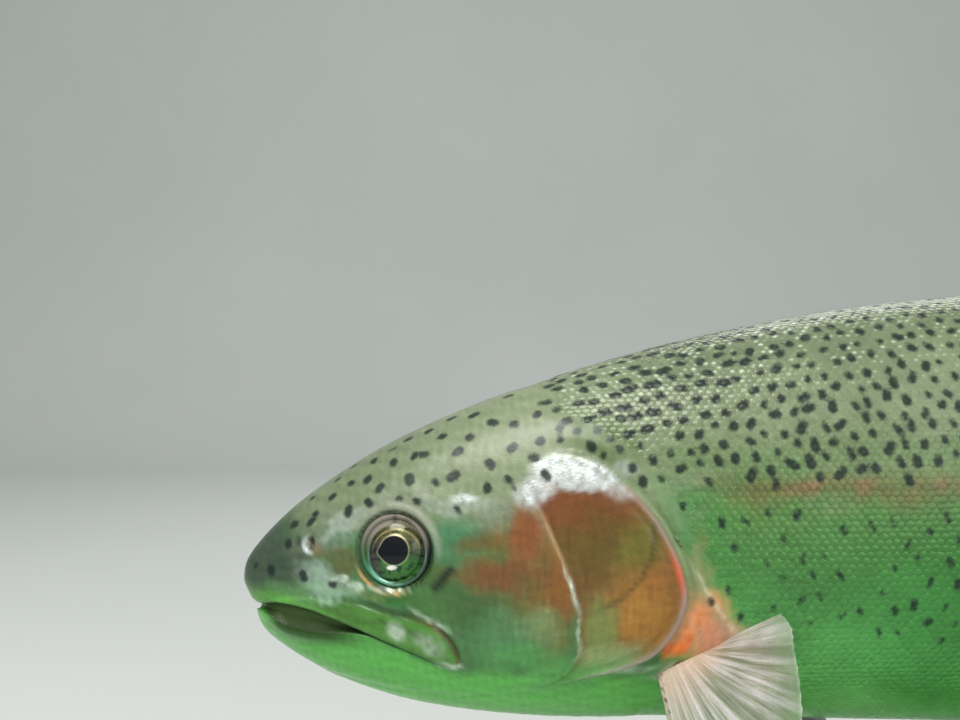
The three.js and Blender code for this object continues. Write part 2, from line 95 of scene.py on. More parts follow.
def along(values: Sequence[float], share: Array) -> Array:
    """A smooth curve through equally spaced values: a cubic between each two of them.

    Args:
        values: The values, at equal steps.
        share: Where to read the curve, 0 at the first value and 1 at the last.

    Returns:
        The curve's heights.
    """
    table = np.asarray(values, float)
    last = len(table) - 1
    place = np.clip(share, 0, 1) * last
    i = np.minimum(place.astype(int), last - 1)
    f = place - i
    ends = (2 * table[0] - table[1], 2 * table[-1] - table[-2])
    padded = np.concatenate(([ends[0]], table, [ends[1]]))
    before, start, end, after = (padded[i + k] for k in range(4))
    start_slope = (end - before) / 2
    end_slope = (after - start) / 2
    rise = end - start
    return (
        start
        + f * start_slope
        + f**2 * (3 * rise - 2 * start_slope - end_slope)
        + f**3 * (start_slope + end_slope - 2 * rise)
    )


def smooth(value: Array, low: float, high: float) -> Array:
    """A smooth step: 0 below low, 1 above high."""
    t = np.clip((value - low) / (high - low), 0, 1)
    return t * t * (3 - 2 * t)


def fall(value: Array, low: float, high: float) -> Array:
    """A smooth step down: 1 below low, 0 above high."""
    return 1 - smooth(value, low, high)


def bell(value: Array, reach: float) -> Array:
    """A bell curve that is 1 at zero and small beyond its reach."""
    return np.exp(-((value / reach) ** 2))


def graded(count: int, densities: Sequence[float]) -> Array:
    """Shares from 0 to 1 that stand closer where the density is higher.

    Args:
        count: How many shares.
        densities: Relative densities at equal steps from 0 to 1.

    Returns:
        The rising shares.
    """
    fine = np.linspace(0, 1, 2001)
    total = np.cumsum(along(densities, fine))
    total = (total - total[0]) / (total[-1] - total[0])
    return np.interp(np.linspace(0, 1, count), total, fine)


def unit(vectors: Array) -> Array:
    """Vectors of length one along the last axis."""
    return vectors / np.maximum(np.linalg.norm(vectors, axis=-1, keepdims=True), 1e-9)


def linear(red: int, green: int, blue: int) -> Array:
    """A screen colour of 0 to 255 as linear light."""
    shares = np.array([red, green, blue]) / 255.0
    return np.where(shares < 0.04045, shares / 12.92, ((shares + 0.055) / 1.055) ** 2.4)


@dataclass
class Stroke:
    """A smooth line drawn on the trout's side through a few points, in millimetres."""

    points: Sequence[tuple[float, float]]
    samples: int = 90
    xz: Array = field(init=False)

    def __post_init__(self) -> None:
        """Draws the line as a cubic through its points."""
        share = np.linspace(0, 1, self.samples)
        self.xz = np.stack([along(axis, share) for axis in zip(*self.points)], -1)

    def nearest(self, x: Array, z: Array) -> Pair:
        """How far points lie from the line.

        Args:
            x: Distances behind the snout.
            z: Heights.

        Returns:
            The distance, which is positive towards the tail where the line runs
            downwards, and the share of the line where it is nearest.
        """
        place = np.stack([np.ravel(x), np.ravel(z)], -1)
        start, end = self.xz[:-1], self.xz[1:]
        run = end - start
        away = place[:, None] - start
        share = np.clip((away * run).sum(-1) / (run**2).sum(-1), 0, 1)
        gap = away - share[..., None] * run
        span = np.hypot(gap[..., 0], gap[..., 1])
        best = span.argmin(1)
        row = np.arange(len(best))
        turn = run[best, 0] * away[row, best, 1] - run[best, 1] * away[row, best, 0]
        distance = span[row, best] * np.sign(turn)
        where = (best + share[row, best]) / (self.samples - 1)
        return distance.reshape(np.shape(x)), where.reshape(np.shape(x))


# ---- mesh helpers


@dataclass
class Sheet:
    """A grid of points that becomes one mesh, with its unwrap."""

    points: Array  # rows by columns by three, in millimetres from the snout
    wrap: bool = False  # the last column joins the first

    def faces(self) -> Array:
        """Four-cornered faces between neighbouring rows and columns."""
        rows, columns = self.points.shape[:2]
        i, j = np.indices((rows - 1, columns if self.wrap else columns - 1))
        k = (j + 1) % columns
        corners = [i * columns + j, (i + 1) * columns + j, (i + 1) * columns + k, i * columns + k]
        return np.stack(corners, -1).reshape(-1, 4)

    def unwrap(self) -> Array:
        """Places the grid's faces over the whole unwrap, corner by corner."""
        rows, columns = self.points.shape[:2]
        faces = self.faces()
        u = (faces // columns) / (rows - 1)
        across = faces % columns
        across[:, 2:][across[:, 2:] == 0] = columns if self.wrap else 0
        v = across / (columns if self.wrap else columns - 1)
        return np.stack([u, v], -1)


def to_frame(points: Array) -> Array:
    """Millimetres from the snout's tip, as metres in the frame."""
    return points * MM + SNOUT


def make_mesh(name: str, points: Array, faces: Array, values: dict[str, Array],
              unwrap: Array | None = None, weld: float = 0.0) -> Piece:
    """Puts points, faces and their values into a new smooth mesh.

    Args:
        name: The piece's name.
        points: Places in millimetres from the snout.
        faces: Point numbers, three or four to a row.
        values: Numbers or colours for each point, by name.
        unwrap: A place in the unwrap for each corner of each face.
        weld: Joins points that are nearer than this, in metres, and turns the
            faces outwards.

    Returns:
        The new object, at the origin.
    """
    mesh = bpy.data.meshes.new(name)
    corners = faces.shape[1]
    points = points.reshape(-1, 3)
    mesh.vertices.add(len(points))
    mesh.vertices.foreach_set("co", to_frame(points).astype(np.float32).ravel())
    mesh.loops.add(faces.size)
    mesh.loops.foreach_set("vertex_index", faces.astype(np.int32).ravel())
    mesh.polygons.add(len(faces))
    mesh.polygons.foreach_set("loop_start", np.arange(len(faces), dtype=np.int32) * corners)
    mesh.polygons.foreach_set("use_smooth", np.ones(len(faces), bool))
    for label, numbers in values.items():
        flat = np.asarray(numbers, np.float32)
        if flat.ndim == 2:
            layer = mesh.attributes.new(label, "FLOAT_COLOR", "POINT")
            full = np.concatenate([flat, np.ones((len(flat), 1), np.float32)], 1)
            layer.data.foreach_set("color", full.ravel())
        else:
            layer = mesh.attributes.new(label, "FLOAT", "POINT")
            layer.data.foreach_set("value", flat)
    if unwrap is not None:
        layer = mesh.uv_layers.new(name="OFBake")
        layer.uv.foreach_set("vector", unwrap.astype(np.float32).ravel())
    mesh.update(calc_edges=True)
    mesh.validate()
    if weld:
        bench = bmesh.new()
        bench.from_mesh(mesh)
        bmesh.ops.remove_doubles(bench, verts=bench.verts, dist=weld)
        bmesh.ops.dissolve_degenerate(bench, dist=weld * 0.1, edges=bench.edges)
        bmesh.ops.recalc_face_normals(bench, faces=bench.faces)
        bench.to_mesh(mesh)
        bench.free()
    piece = bpy.data.objects.new(name, mesh)
    bpy.context.scene.collection.objects.link(piece)
    return piece


def hand_in(piece: Piece, material: Material, nodes: Sequence[str] = ()) -> Piece:
    """Gives a piece its material, its body and the solids it stands for.

    Args:
        piece: The object.
        material: Its finish.
        nodes: The solids whose place it takes.

    Returns:
        The same object.
    """
    piece.data.materials.append(material)
    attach(piece, BODY)
    if nodes:
        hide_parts(*nodes)
    LOG.info("%s: %d faces", piece.name, len(piece.data.polygons))
    return piece


# ---- the trout's form


@dataclass(frozen=True)
class TroutForm:
    """The trout's bare outline.

    A station at s lies s * s of the length behind the snout, so that the snout is
    round. Each line holds its values at equal steps of s: heights are shares of the
    depth above the snout's tip, and half widths are shares of half the width.
    """

    length: float
    depth: float = 108.0
    width: float = 60.0
    head: float = 105.0
    pores: float = 24.5  # the height of the line of pores, where it starts behind the head
    tail_sweep: float = 15.0
    sweep_start: float = 150.0
    back: Sequence[float] = (0, 0.08, 0.193, 0.319, 0.437, 0.546, 0.628, 0.657, 0.616, 0.505,
                             0.452)
    belly: Sequence[float] = (0, -0.116, -0.199, -0.281, -0.317, -0.322, -0.334, -0.343, -0.282,
                              -0.062, 0.062)
    half: Sequence[float] = (0, 0.283, 0.517, 0.717, 0.883, 0.975, 1.0, 0.985, 0.86, 0.53, 0.215)
    widest: Sequence[float] = (0, -0.018, -0.014, 0, 0.028, 0.074, 0.12, 0.157, 0.176, 0.222,
                               0.257)
    top_power: Sequence[float] = (2.0, 2.0, 2.1, 2.3, 2.25, 2.1, 2.0, 2.0, 2.05, 2.15, 2.2)
    low_power: Sequence[float] = (2.0, 2.0, 2.05, 2.15, 2.2, 2.1, 2.0, 1.95, 1.95, 2.1, 2.2)

    def s_at(self, x: Array | float) -> Array:
        """The station of a distance behind the snout."""
        return np.sqrt(np.maximum(x, 0.0) / self.length)

    def sweep(self, x: Array) -> Array:
        """How far the trunk is carried to the trout's right, growing to the tail."""
        share = (x - self.sweep_start) / (self.length - self.sweep_start)
        return self.tail_sweep * np.clip(share, 0.0, 1.25) ** 2

    def back_height(self, s: Array | float) -> Array:
        """The back's height at a station."""
        return self.depth * along(self.back, s)

    def belly_height(self, s: Array | float) -> Array:
        """The belly's height at a station."""
        return self.depth * along(self.belly, s)

    def rim(self, s: Array, turn: Array) -> Array:
        """Points on the outline, with y as the distance out from the middle.

        Above and below its widest level a station is a quarter of a superellipse.

        Args:
            s: Stations.
            turn: Angles round them, 0 at the back and half a turn at the belly.

        Returns:
            The points x, y and z.
        """
        s, turn = np.broadcast_arrays(s, turn)
        widest = self.depth * along(self.widest, s)
        upper = turn <= pi / 2
        power = np.where(upper, along(self.top_power, s), along(self.low_power, s))
        out = np.clip(np.sin(turn), 0, 1) ** (2 / power)
        rise = np.abs(np.cos(turn)) ** (2 / power)
        reach = np.where(upper, self.back_height(s), self.belly_height(s)) - widest
        half = self.width / 2 * along(self.half, s)
        return np.stack([self.length * s * s, out * half, widest + rise * reach], -1)

    def turn_at(self, s: Array, z: Array) -> Array:
        """The angle round a station at which its outline has a height."""
        widest = self.depth * along(self.widest, s)
        upper = z >= widest
        reach = np.where(upper, self.back_height(s), self.belly_height(s)) - widest
        power = np.where(upper, along(self.top_power, s), along(self.low_power, s))
        share = np.clip((z - widest) / np.where(np.abs(reach) < 1e-6, 1e-6, reach), 0, 1)
        turn = np.arccos(share ** (power / 2))
        return np.where(upper, turn, pi - turn)

    def lateral(self, x: Array) -> Array:
        """The height of the line of pores along the side."""
        tail = self.depth * (self.back[-1] + self.belly[-1]) / 2
        share = np.clip((x - self.head) / (self.length - self.head), 0, 1)
        return self.pores + (tail - self.pores) * share

    def level(self, x: Array, z: Array) -> Array:
        """Where a height lies between the belly, at -1, the pores, at 0, and the back, at 1."""
        s = self.s_at(x)
        middle = self.lateral(x)
        above = (z - middle) / np.maximum(self.back_height(s) - middle, 1.0)
        below = (z - middle) / np.maximum(middle - self.belly_height(s), 1.0)
        return np.clip(np.where(z > middle, above, below), -1.2, 1.2)


TAIL_POINT = 4.5  # how far the flesh runs on behind the backbone's end
SOLE_LENGTH = (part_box("tail_stalk")[1].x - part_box("head")[0].x) / MM - TAIL_POINT
FORM = TroutForm(length=round(SOLE_LENGTH, 1))
SNOUT = np.array([
    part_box("head")[0].x,
    0.0,
    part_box("trunk")[1].z - FORM.back_height(np.linspace(0, 1, 400)).max() * MM,
])


@dataclass(frozen=True)
class Mouth:
    """The slightly open mouth: the upper lip's line and the gap below it."""

    lip: Sequence[float] = (-4.5, -5.6, -6.2, -4.5, -5.0, -8.0, -12.7, -17.9, -18.6, -17.6, -17.0)
    lip_step: float = 0.05  # of the stations between the lip's heights
    front: float = 3.8  # the upper lip's middle behind the snout's tip
    front_span: float = 0.075  # stations over which the lip turns to the sides
    corner: float = 52.0
    open_gap: float = 5.9
    shut_gap: float = 0.5
    parting: tuple[float, float] = (2.0, 14.0)
    shutting: tuple[float, float] = (15.0, 36.0)
    jaw_tip: float = 3.6
    jaw_level: float = -9.6
    jaw_round: float = 3.4
    jaw_blunt: float = 2.7
    jaw_merge: float = 40.0

    def lip_height(self, x: Array) -> Array:
        """The height of the upper lip's edge."""
        return along(self.lip, FORM.s_at(x) / (self.lip_step * (len(self.lip) - 1)))

    def gap(self, x: Array) -> Array:
        """How far the lips stand apart: they meet in front and at the corner."""
        apart = smooth(x, *self.parting) * fall(x, *self.shutting)
        return self.shut_gap + (self.open_gap - self.shut_gap) * apart


MOUTH = Mouth()

# ---- relief of the head


@dataclass(frozen=True)
class EyePlace:
    """Where the eye sits in the head, how large it is and how it is turned."""

    x: float = 39.3
    z: float = 9.2
    out: float = 18.6
    radius: float = 7.9
    bulge: float = 3.3
    forward: float = 0.2
    up: float = 0.13


EYE = EyePlace()

GILL_EDGE = Stroke([(68, 30), (77.8, 32.2), (84.5, 30.8), (91.1, 25.8), (97.7, 19), (102.6, 10.5),
                    (104.8, 3.6), (105, -1.3), (103.8, -5.6), (101.2, -10.2), (97.8, -13.9),
                    (92, -16.8), (84, -19.4), (72, -23.5), (58, -28.5)])
CHEEK_EDGE = Stroke([(70, 24), (72.9, 18.5), (75.3, 13), (76.9, 9.3), (78.8, 4.4), (80.3, 0),
                     (81, -4.4), (81.3, -9), (80.9, -14), (78, -18.5), (72, -22), (62, -24)], 60)
COVER_SEAM = Stroke([(98, 17), (97.3, 10), (95, 4.8), (92, 1.2), (88, -1.8), (83, -3.4)], 30)
JAW_CREASE = Stroke([(24.5, -3), (31.9, -3.3), (38.5, -5), (43.7, -5.9), (48.3, -7.8),
                     (51.4, -10.4), (53.3, -13.4), (54.2, -17.5)], 40)
BONE_SEAM = Stroke([(36, -6.8), (41, -8.4), (46, -11), (49.5, -14.8)], 20)
NOSE_FLAP = Stroke([(19.1, 7.7), (17.9, 8.1), (17.3, 9.3), (17.4, 10.6), (18.2, 11.5)], 20)
EYE_STREAK = Stroke([(48.9, 1.4), (50.3, 3), (51.6, 4.8), (53.4, 6.6)], 20)
EYE_SEAM = Stroke([(46.5, 20), (56, 16), (61, 8), (60, -2), (52, -7), (40, -5), (30, -2.2),
                   (22, 1)], 40)
JAW_SEAM = Stroke([(10, -17), (22, -22), (36, -25), (50, -26), (62, -25)], 20)
BROW = Stroke([(24, 17.5), (32, 20.5), (41, 21.5), (50, 20.2), (60, 20)], 20)
SHOULDER = Stroke([(50, 70), (58, 54), (66, 45), (75, 39.5), (85, 35), (93, 29.5), (99, 22),
                   (103.5, 13), (108, 5.5), (111.5, -0.5), (115, -5.5), (118, -10.5), (113, -17),
                   (104, -22), (96, -29), (88, -39)], 64)


@dataclass(frozen=True)
class HeadRelief:
    """The bones, folds and openings that stand out of the head or sink into it."""

    maxilla_start: float = 9.0
    maxilla_end: float = 55.0
    maxilla_depth: float = 9.2
    maxilla_shape: Sequence[float] = (0.1, 0.24, 0.38, 0.58, 0.76, 0.92, 0.96, 0.1)
    rear_nostril: tuple[float, float] = (18.9, 9.9)
    front_nostril: tuple[float, float] = (15.7, 10.0)
    cover_root: tuple[float, float] = (71.0, 24.0)  # the gill cover's growth centre

    def maxilla(self, x: Array, z: Array) -> Pair:
        """The upper jaw bone: how much of it is at a point, and the depth below its top."""
        share = (x - self.maxilla_start) / (self.maxilla_end - self.maxilla_start)
        top = MOUTH.lip_height(x) + self.maxilla_depth * along(self.maxilla_shape, share)
        inside = smooth(top - z, -0.1, 0.9) * smooth(x, self.maxilla_start, 15.0)
        inside = inside * fall(x, self.maxilla_end - 1.2, self.maxilla_end + 0.2)
        return inside, top - z

    def height(self, x: Array, z: Array, above: Array) -> Array:
        """How far the surface stands out of the bare outline, in millimetres.

        Args:
            x: Distances behind the snout.
            z: Heights.
            above: 1 above the mouth and 0 below it.

        Returns:
            The sum of every bone, fold and pit.
        """
        below = 1 - above
        out = above * self.jaw_bone(x, z) + self.cover(x, z)
        low_edge = MOUTH.lip_height(x) - MOUTH.gap(x)
        out += below * 0.5 * bell(low_edge - 1.0 - z, 1.4) * smooth(x, 5, 11) * fall(x, 36, 50)
        seam, _ = JAW_SEAM.nearest(x, z)
        out -= below * 0.2 * bell(seam, 0.8)

        eye = np.hypot(x - EYE.x, z - EYE.z)
        lid = smooth(z - EYE.z, -2.0, 6.0)
        out += above * (-2.6 * fall(eye, 7.9, 9.0) + (0.1 + 0.2 * lid) * bell(eye - 9.9, 0.8))
        out -= above * (0.1 + 0.15 * lid) * bell(eye - 11.2, 0.8)
        flap, share = NOSE_FLAP.nearest(x, z)
        for (nose_x, nose_z), wide, deep in (
            (self.front_nostril, 0.75, 0.3),
            (self.rear_nostril, 1.0, 1.4),
        ):
            hole = np.hypot(x - nose_x, (z - nose_z) * 0.55)
            out -= above * deep * fall(hole, 0.3, wide)
        out += above * 0.7 * bell(flap, 0.5) * bell(share - 0.45, 0.4)
        out += above * 0.25 * bell(np.hypot(x - 18.2, z - 9.9) - 3.0, 0.8)
        out += below * 0.8 * bell(x - 20.0, 9.0)

        brow, share = BROW.nearest(x, z)
        out += above * 0.4 * bell(brow, 2.4) * bell(share - 0.5, 0.6)
        seam, share = EYE_SEAM.nearest(x, z)
        rays = np.sin(13 * np.arctan2(z - EYE.z, x - EYE.x) + 0.6 * waves(x, z, 12, 9))
        ring = smooth(eye, 10, 14) * fall(eye, 20, 27) * smooth(x - EYE.x, -4, 6)
        out -= above * (0.2 * bell(seam, 0.7) * bell(share - 0.4, 0.6) + 0.07 * rays * ring)
        return out + 0.035 * waves(x, z, 4.2, 31) * fall(x, 100, 118)

    def jaw_bone(self, x: Array, z: Array) -> Array:
        """The upper jaw's plates, their creases and the lip's bead.

        Args:
            x: Distances behind the snout.
            z: Heights.

        Returns:
            Heights out of the bare outline.
        """
        bone, under_top = self.maxilla(x, z)
        share = (x - self.maxilla_start) / (self.maxilla_end - self.maxilla_start)
        out = 0.7 * bone + 0.3 * bone * bell(under_top - 2.4, 1.5) * smooth(share, 0.3, 0.7)
        crease, where = JAW_CREASE.nearest(x, z)
        deep = smooth(where, 0.0, 0.35)
        out -= 0.65 * bell(crease, 0.6) * deep
        out += 0.4 * bell(crease - 1.5, 1.0) * deep
        seam, where = BONE_SEAM.nearest(x, z)
        out -= 0.3 * bell(seam, 0.5) * bell(where - 0.5, 0.5)
        lip = bell(z - MOUTH.lip_height(x) - 1.0, 1.3) * fall(x, 8, 16)
        return out + 0.45 * lip

    def cover(self, x: Array, z: Array) -> Array:
        """The cheek's edge, the gill cover's plates and the step at its rear edge.

        Args:
            x: Distances behind the snout.
            z: Heights.

        Returns:
            Heights out of the bare outline.
        """
        cheek, share = CHEEK_EDGE.nearest(x, z)
        fade = smooth(share, 0.0, 0.12) * fall(share, 0.88, 1.0)
        out = fade * (0.5 * bell(cheek + 1.8, 1.7) - 0.4 * bell(cheek - 0.9, 0.8))
        out += fade * 0.3 * bell(cheek - 0.05, 0.45) * smooth(share, 0.2, 0.35)
        seam, share = COVER_SEAM.nearest(x, z)
        out -= 0.26 * bell(seam, 0.6) * fall(share, 0.85, 1.0)
        gill, share = GILL_EDGE.nearest(x, z)
        fade = smooth(share, 0.02, 0.16) * fall(share, 0.82, 0.98)
        plate = smooth(-gill, -0.25, 0.35) * fall(-gill, 4.0, 14.0)
        out += fade * (0.75 * plate - 1.0 * bell(gill - 1.0, 1.0) - 0.25 * bell(gill + 2.4, 0.8))
        inside = smooth(-gill, 1.0, 3.0) * smooth(cheek, 1.0, 3.0) * fall(-z, 18, 24)
        reach = np.hypot(x - self.cover_root[0], z - self.cover_root[1])
        rings = np.sin(reach * tau / 1.9 + 0.8 * waves(x, z, 8, 61))
        out += 0.035 * rings * inside * smooth(reach, 14, 24)
        ridge, _ = SHOULDER.nearest(x, z)
        return out + 0.35 * bell(ridge + 1.2, 1.3) * smooth(gill, 0.6, 2.0) * bell(z - 2, 14.0)


RELIEF = HeadRelief()


# ---- markings


def tint(red: int, green: int, blue: int) -> Array:
    """A dataclass field that holds a screen colour as linear light."""
    return field(default_factory=lambda: linear(red, green, blue))


@dataclass(frozen=True)
class Palette:
    """The trout's colours, as linear light; the lower greens are partly painted light, the water's
    green cast.
    """

    snout: Array = tint(62, 76, 56)
    forehead: Array = tint(108, 122, 92)
    crown: Array = tint(122, 134, 104)
    back: Array = tint(118, 130, 100)
    ridge: Array = tint(98, 110, 82)
    upper: Array = tint(92, 116, 72)
    stripe: Array = tint(98, 92, 50)
    blush: Array = tint(152, 108, 86)
    # flank, low_flank, belly, jaw and lip: partly the trout's own green and partly painted light,
    # the green cast of the water that lit it
    flank: Array = tint(64, 120, 58)
    low_flank: Array = tint(78, 148, 74)
    belly: Array = tint(116, 186, 108)
    jaw: Array = tint(91, 173, 77)
    lip: Array = tint(88, 156, 62)
    maxilla: Array = tint(73, 126, 48)
    # pearl: the pale of the pearly patches, and of the painted glints on the head and on the scales
    pearl_and_glint: Array = tint(206, 222, 200)
    cheek: Array = tint(69, 110, 65)
    cover: Array = tint(108, 76, 38)
    silver: Array = tint(224, 230, 230)
    membrane: Array = tint(190, 176, 168)
    inside: Array = tint(72, 98, 50)
    spot: Array = tint(22, 34, 32)
    dark: Array = tint(30, 38, 26)


PALETTE = Palette()


def mix(base: Array, top: Array, share: Array) -> Array:
    """Lays a colour over others by a share for each point."""
    return base + (top - base) * np.clip(share, 0, 1)[..., None]


def paint(base: Array, layers: Iterable[Layer]) -> Array:
    """Lays colours over others, one after another.

    Args:
        base: The colours that are covered.
        layers: A screen colour or linear light for each layer, and its shares.

    Returns:
        The new colours.
    """
    for colour, share in layers:
        top = linear(*colour) if isinstance(colour, tuple) else colour
        base = mix(base, top, share)
    return base


def waves(x: Array, z: Array, scale: float, seed: int, count: int = 7) -> Array:
    """A soft random pattern between about -1 and 1: a sum of waves in random directions.

    Args:
        x: Distances behind the snout.
        z: Heights or distances round the body.
        scale: The patches' size in millimetres.
        seed: Chooses the pattern.
        count: How many waves.

    Returns:
        The pattern's values.
    """
    draw = np.random.default_rng(seed)
    total = np.zeros(np.shape(x))
    for _ in range(count):
        turn, phase = draw.uniform(0, tau), draw.uniform(0, 6.3)
        stretch = draw.uniform(0.6, 1.6)
        step = tau / (scale * stretch)
        total += np.sin(step * (x * cos(turn) + z * sin(turn)) + phase)
    return total / sqrt(count)


class Zone(Enum):
    """Parts of the head that keep their colours to themselves."""

    ALL = "all"
    FACE = "face"
    COVER = "cover"
    BEHIND = "behind"


@dataclass(frozen=True)
class Oval:
    """A soft-edged oval on the side of the head."""

    x: float
    z: float
    long: float
    high: float
    share: float = 0.8
    lean: float = 0.0  # degrees, with the rear end down
    zone: Zone = Zone.ALL
    edge: float = 0.45

    def cover(self, x: Array, z: Array) -> Array:
        """How much of the oval lies at each point."""
        c, s = cos(radians(self.lean)), sin(radians(self.lean))
        run = ((x - self.x) * c - (z - self.z) * s) / self.long
        rise = ((x - self.x) * s + (z - self.z) * c) / self.high
        return self.share * fall(np.hypot(run, rise), 1 - self.edge, 1 + self.edge)


FACE, COVER, BEHIND = Zone.FACE, Zone.COVER, Zone.BEHIND
PATCHES = tuple((colour, Oval(*place)) for colour, *place in (
    ((50, 68, 54), 7, 6, 8, 9, 0.7),
    # The pale bands at (20, 13), (27.5, 15) and (40, 20.6), from the nostril up over the eye, are
    # partly pale skin and partly painted sheen.
    ((108, 116, 98), 20, 13, 9, 3, 0.45, -38),
    ((102, 122, 108), 25, 11.5, 5.5, 3.2, 0.6, -10, FACE),
    ((146, 156, 144), 27.5, 15, 7.5, 2, 0.65, -32),
    ((142, 148, 132), 40, 20.6, 6.5, 1.5, 0.5, 0),
    ((88, 78, 48), 27, 6.5, 4.5, 2.6, 0.65, 10, FACE, 0.7),
    ((84, 120, 80), 16.5, -1.5, 7, 2.2, 0.7, 4, FACE, 0.6),
    ((140, 160, 144), 22.6, 2, 6, 2.9, 0.8, 16, FACE, 0.85),
    ((128, 158, 132), 23.5, -1.4, 5, 1.5, 0.75, 10, FACE, 0.85),
    ((62, 100, 42), 27, -4.8, 6.5, 1.5, 0.75, 12, FACE, 0.7),
    ((30, 90, 36), 40.5, -2, 7, 2.1, 0.95, 8, FACE, 0.7),
    ((98, 118, 70), 33, -1.4, 5, 1.4, 0.6, 4, FACE),
    ((64, 116, 80), 53.5, 12.5, 6.5, 5.2, 0.85, 0, FACE, 0.6),
    ((66, 92, 46), 50, 3.5, 6, 3.6, 0.7, 20, FACE, 0.7),
    ((146, 156, 142), 55, 20, 9, 1.8, 0.7, 0, FACE),
    ((110, 122, 102), 63, 18, 5, 3, 0.6, -20, FACE, 0.7),
    ((104, 84, 44), 71, 6, 12, 12, 0.6, 0, FACE, 0.6),
    ((98, 74, 36), 59, 11.8, 6, 2, 0.7, -12, FACE, 0.7),
    ((126, 76, 44), 69.5, 14, 4.4, 7.5, 0.95, 12, FACE, 0.65),
    ((124, 80, 36), 76.5, 3, 4.6, 11, 0.95, 8, FACE, 0.65),
    ((110, 70, 38), 63.5, 4.6, 10, 3, 0.9, 2, FACE, 0.65),
    ((96, 88, 42), 68, -1.5, 6, 3.2, 0.5, -20, FACE, 0.8),
    ((98, 96, 44), 75.5, -10, 4.2, 5, 0.7, 8, FACE, 0.8),
    ((52, 76, 38), 57, -4.5, 6.5, 5.5, 0.75, 10, FACE, 0.7),
    ((78, 126, 82), 64, -9.5, 8, 4.8, 0.75, 15, FACE, 0.8),
    ((112, 138, 92), 72.5, -6.5, 4.6, 4, 0.6, 10, FACE, 0.8),
    ((80, 148, 76), 70, -15, 10, 3, 0.7, 5, FACE, 0.8),
    ((70, 104, 52), 46.5, -2.5, 8, 2.4, 0.6, 16, FACE, 0.7),
    ((112, 66, 38), 82, 20.5, 13, 5, 0.9, 4, COVER, 0.6),
    ((90, 74, 32), 86, 10.5, 9, 8, 0.85, -8, COVER, 0.7),
    ((98, 100, 38), 95, 11, 4.6, 7, 0.75, 24, COVER, 0.7),
    ((106, 74, 36), 84, 0, 5, 5, 0.6, 0, COVER, 0.8),
    ((152, 108, 46), 95.5, -4, 7, 9.5, 0.9, -10, COVER, 0.6),
    ((140, 90, 40), 98.5, 5, 3.6, 4.6, 0.7, 0, COVER, 0.7),
    ((112, 128, 70), 85.5, -8, 3.8, 8, 0.85, 4, COVER, 0.7),
    ((138, 160, 108), 88.5, -14.5, 8, 3.4, 0.8, -10, COVER, 0.7),
    ((88, 160, 80), 80, -19.5, 12, 3.4, 0.8, -16),
    ((88, 108, 66), 88, 34.5, 9, 4.6, 0.8, 34, Zone.ALL, 0.6),
    ((208, 152, 108), 108, -6.5, 6.4, 8, 0.95, 12, BEHIND),
    ((206, 150, 126), 113.5, -10, 5.5, 4.6, 0.8, 30, BEHIND),
    ((226, 128, 74), 109, -3.5, 2.4, 4.2, 0.6, 10, BEHIND, 0.7),
    ((234, 112, 44), 103.2, -11.4, 3.6, 1.6, 0.85, -56, BEHIND, 0.7),
    ((132, 126, 82), 107.3, 6, 2.2, 8, 0.6, 8, BEHIND, 0.7),
    ((178, 168, 156), 107, -18.4, 8, 2.2, 0.8, 0),
    ((120, 48, 40), 106, -16, 3.4, 0.6, 0.85, 0, BEHIND),
))
# Silver and pearly patches of the gill cover and upper jaw, with painted highlights among them: the
# pale lumps on the upper jaw bone are partly painted highlight, and the line above the jaw's crease
# (47.8, -6.3), the glints below the eye (27.2, 2.9; 30, 0.6; 25.2, 1.8), the glints behind the
# eye's top (55.5, 21.4) and the line along the gill cover's lower edge (91, -17.4) are painted
# highlights.
SILVER_AND_GLINTS = tuple(Oval(*place) for place in (
    (80.5, 27.5, 9.8, 3.6, 0.95, 6, COVER, 0.22),
    (71.5, 23.7, 4.6, 3, 0.9, -22, Zone.ALL, 0.45),
    (89, 25.2, 4.5, 2.2, 0.5, 24, COVER, 0.7),
    (92, 28.8, 2.4, 1.3, 0.45, 10, Zone.ALL, 0.7),
    (39.9, -9.1, 2.3, 1.7, 0.8, 30, FACE, 0.6),
    (47.2, -12.2, 3.4, 2, 0.5, 28, FACE, 0.7),
    (52, -17, 2.8, 1, 0.8, 6, FACE, 0.5),
    (47.8, -6.3, 5.2, 0.6, 0.55, 31, FACE, 0.6),
    (27.2, 2.9, 1.4, 0.9, 1, 0, FACE),
    (30, 0.6, 1.9, 1, 1, 14, FACE),
    (25.2, 1.8, 0.8, 0.7, 0.7, 0, FACE),
    (55.5, 21.4, 2.8, 0.9, 0.8, 0, FACE),
    (37.5, 0.4, 5, 0.55, 0.6, 2, FACE),
    (91, -17.4, 8, 0.8, 0.4, -10),
))


